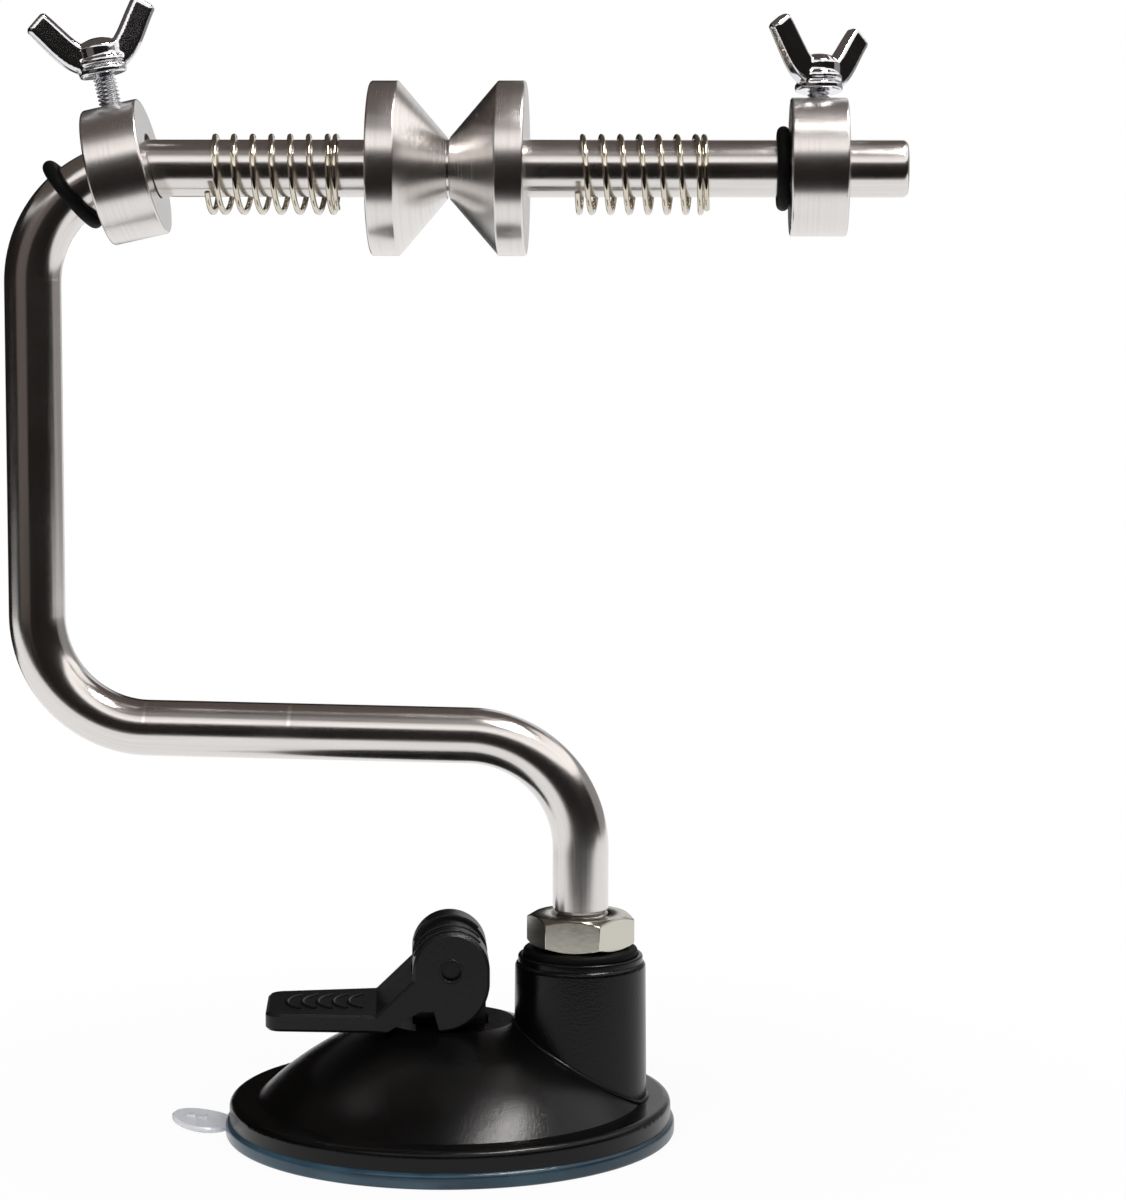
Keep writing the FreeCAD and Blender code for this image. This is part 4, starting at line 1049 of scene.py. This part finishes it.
def make_studio():
    world = bpy.data.worlds.new("studio")
    bpy.context.scene.world = world
    graph = bare_graph(world)
    path = graph.add("ShaderNodeLightPath")
    seen = graph.math("MAXIMUM", path.outputs["Is Camera Ray"], path.outputs["Is Transmission Ray"])
    strength = graph.remap(path.outputs["Is Glossy Ray"], 0.0, 1.0, WORLD_DIFFUSE, WORLD_GLOSSY)
    strength = graph.math("MAXIMUM", strength, seen)
    glow = graph.add("ShaderNodeBackground", {"Color": (1.0, 1.0, 1.0, 1.0), "Strength": strength}).outputs[0]
    graph.add("ShaderNodeOutputWorld", {"Surface": glow})

    floor_mesh = bpy.data.meshes.new("floor")
    floor_mesh.from_pydata([(-3, -3, 0), (3, -3, 0), (3, 3, 0), (-3, 3, 0)], [], [(0, 1, 2, 3)])
    floor = new_object("floor", floor_mesh)
    material = bpy.data.materials.new("floor")
    graph = bare_graph(material)
    path = graph.add("ShaderNodeLightPath")
    place = graph.add("ShaderNodeTexCoord").outputs["Object"]
    away = graph.add("ShaderNodeVectorMath", {0: place}, operation="LENGTH").outputs["Value"]
    fade = graph.remap(away, 0.05, 0.16, 0.93, 1.0)
    seen = graph.math("MAXIMUM", path.outputs["Is Camera Ray"], path.outputs["Is Glossy Ray"])
    seen = graph.math("MAXIMUM", seen, path.outputs["Is Transmission Ray"])
    share = graph.times(fade, seen)
    matt = graph.add("ShaderNodeBsdfDiffuse", {"Color": (0.9, 0.9, 0.9, 1.0)}).outputs[0]
    glow = graph.add("ShaderNodeEmission", {"Color": (1.0, 1.0, 1.0, 1.0), "Strength": 1.0}).outputs[0]
    mixed = graph.add("ShaderNodeMixShader", {0: share, 1: matt, 2: glow}).outputs[0]
    # The white sheet ends a hand's width in front of the base; reflections see the dark beyond it.
    depth = graph.add("ShaderNodeSeparateXYZ", {"Vector": place}).outputs["Y"]
    beyond = graph.remap(depth, SHEET_EDGE, SHEET_EDGE - 0.012, 0.0, 1.0)
    beyond = graph.times(beyond, path.outputs["Is Glossy Ray"])
    dark = graph.add("ShaderNodeEmission", {"Color": (*DARK_FRONT, 1.0), "Strength": 1.0}).outputs[0]
    whole = graph.add("ShaderNodeMixShader", {0: beyond, 1: mixed, 2: dark}).outputs[0]
    graph.add("ShaderNodeOutputMaterial", {"Surface": whole})
    floor_mesh.materials.append(material)

    area_light("softbox", (0.05, -0.62, 0.62), (0.0, 0.0, 0.14), (1.1, 0.5), LAMP_POWER, (1.0, 0.98, 0.96))
    for card in CARDS:
        bent_card(*card)


def make_camera():
    data = bpy.data.cameras.new("camera")
    data.lens = CAMERA_LENS
    camera = new_object("camera", data)
    camera.location = CAMERA_SPOT
    camera.rotation_euler = Euler([math.radians(angle) for angle in CAMERA_TURN])
    bpy.context.scene.camera = camera
    bpy.context.scene.view_settings.view_transform = "Standard"


# ---- the whole winder ----

def dress_cad(node, material):
    mesh = NODES[node].data
    mesh.materials.clear()
    mesh.materials.append(material)
    for polygon in mesh.polygons:
        polygon.material_index = 0


make_camera()
make_studio()

shell_black = black_plastic("shell_black", (0.002, 0.002, 0.002), 0.22, 0.22)
lever_black = black_plastic("lever_black", (0.005, 0.005, 0.0055), 0.4)
steel = plain_metal("thread_steel", (0.5, 0.49, 0.47), (0.62, 0.6, 0.58), 0.3, 900.0, 0.2)
# Painted shade: the pin is given a near-black colour that stands for the shade in its hole.
pin_painted_shade = plain_metal("pin_painted_shade", (0.02, 0.02, 0.02), (0.05, 0.05, 0.05), 0.35, 900.0, 0.4)
wire_steel = plain_metal("spring_steel", (0.60, 0.55, 0.46), (0.80, 0.75, 0.64), 0.09, 700.0, 0.06)
nickel = plain_metal("nut_nickel", (0.56, 0.54, 0.47), (0.66, 0.64, 0.57), 0.2, 1200.0, 0.1)
chrome = plain_metal("screw_chrome", (0.74, 0.75, 0.78), (0.82, 0.83, 0.85), 0.07, 160.0, 0.1, 0.0)
brass = plain_metal("brass_insert", (0.65, 0.45, 0.2), (0.75, 0.55, 0.28), 0.3, 800.0, 0.2)
rubber = black_rubber()
rod_finish = rod_aluminium()
cone_finish = turned_aluminium("cone_aluminium", SPINDLE_MIDDLE * MM)
inner_collar_finish = turned_aluminium("inner_collar_aluminium", INNER_COLLAR_MIDDLE * MM,
                                       INNER_COLLAR_TURN.to_quaternion())
outer_collar_finish = turned_aluminium("outer_collar_aluminium", OUTER_COLLAR_MIDDLE * MM)
# Painted shade: the pad's clear colour is a much darker copy of the tab's, standing for the shade under the
# black shell.
pad_shaded_clear = clear_soft("clear_soft", (0.005, 0.02, 0.04), (0.02, 0.055, 0.08), 0.18)
tab_soft = clear_soft("clear_tab", (0.80, 0.82, 0.88), (0.92, 0.93, 0.96), 0.45)

for node, finish in (("base_shell", shell_black), ("stem", lever_black), ("cam_lever", lever_black),
                     ("lever_pin", pin_painted_shade), ("release_spring", wire_steel), ("threaded_insert", brass),
                     ("seat_washer", rubber), ("inner_oring", rubber), ("outer_oring", rubber),
                     ("inner_collar", inner_collar_finish), ("outer_collar", outer_collar_finish)):
    dress_cad(node, finish)

make_rod(rod_finish, steel)
make_cones(cone_finish)
make_springs(wire_steel)
make_nut(nickel)
make_clamps(chrome)
make_pad(pad_shaded_clear, tab_soft)
make_shell_detail(shell_black)
make_lever_detail(lever_black)
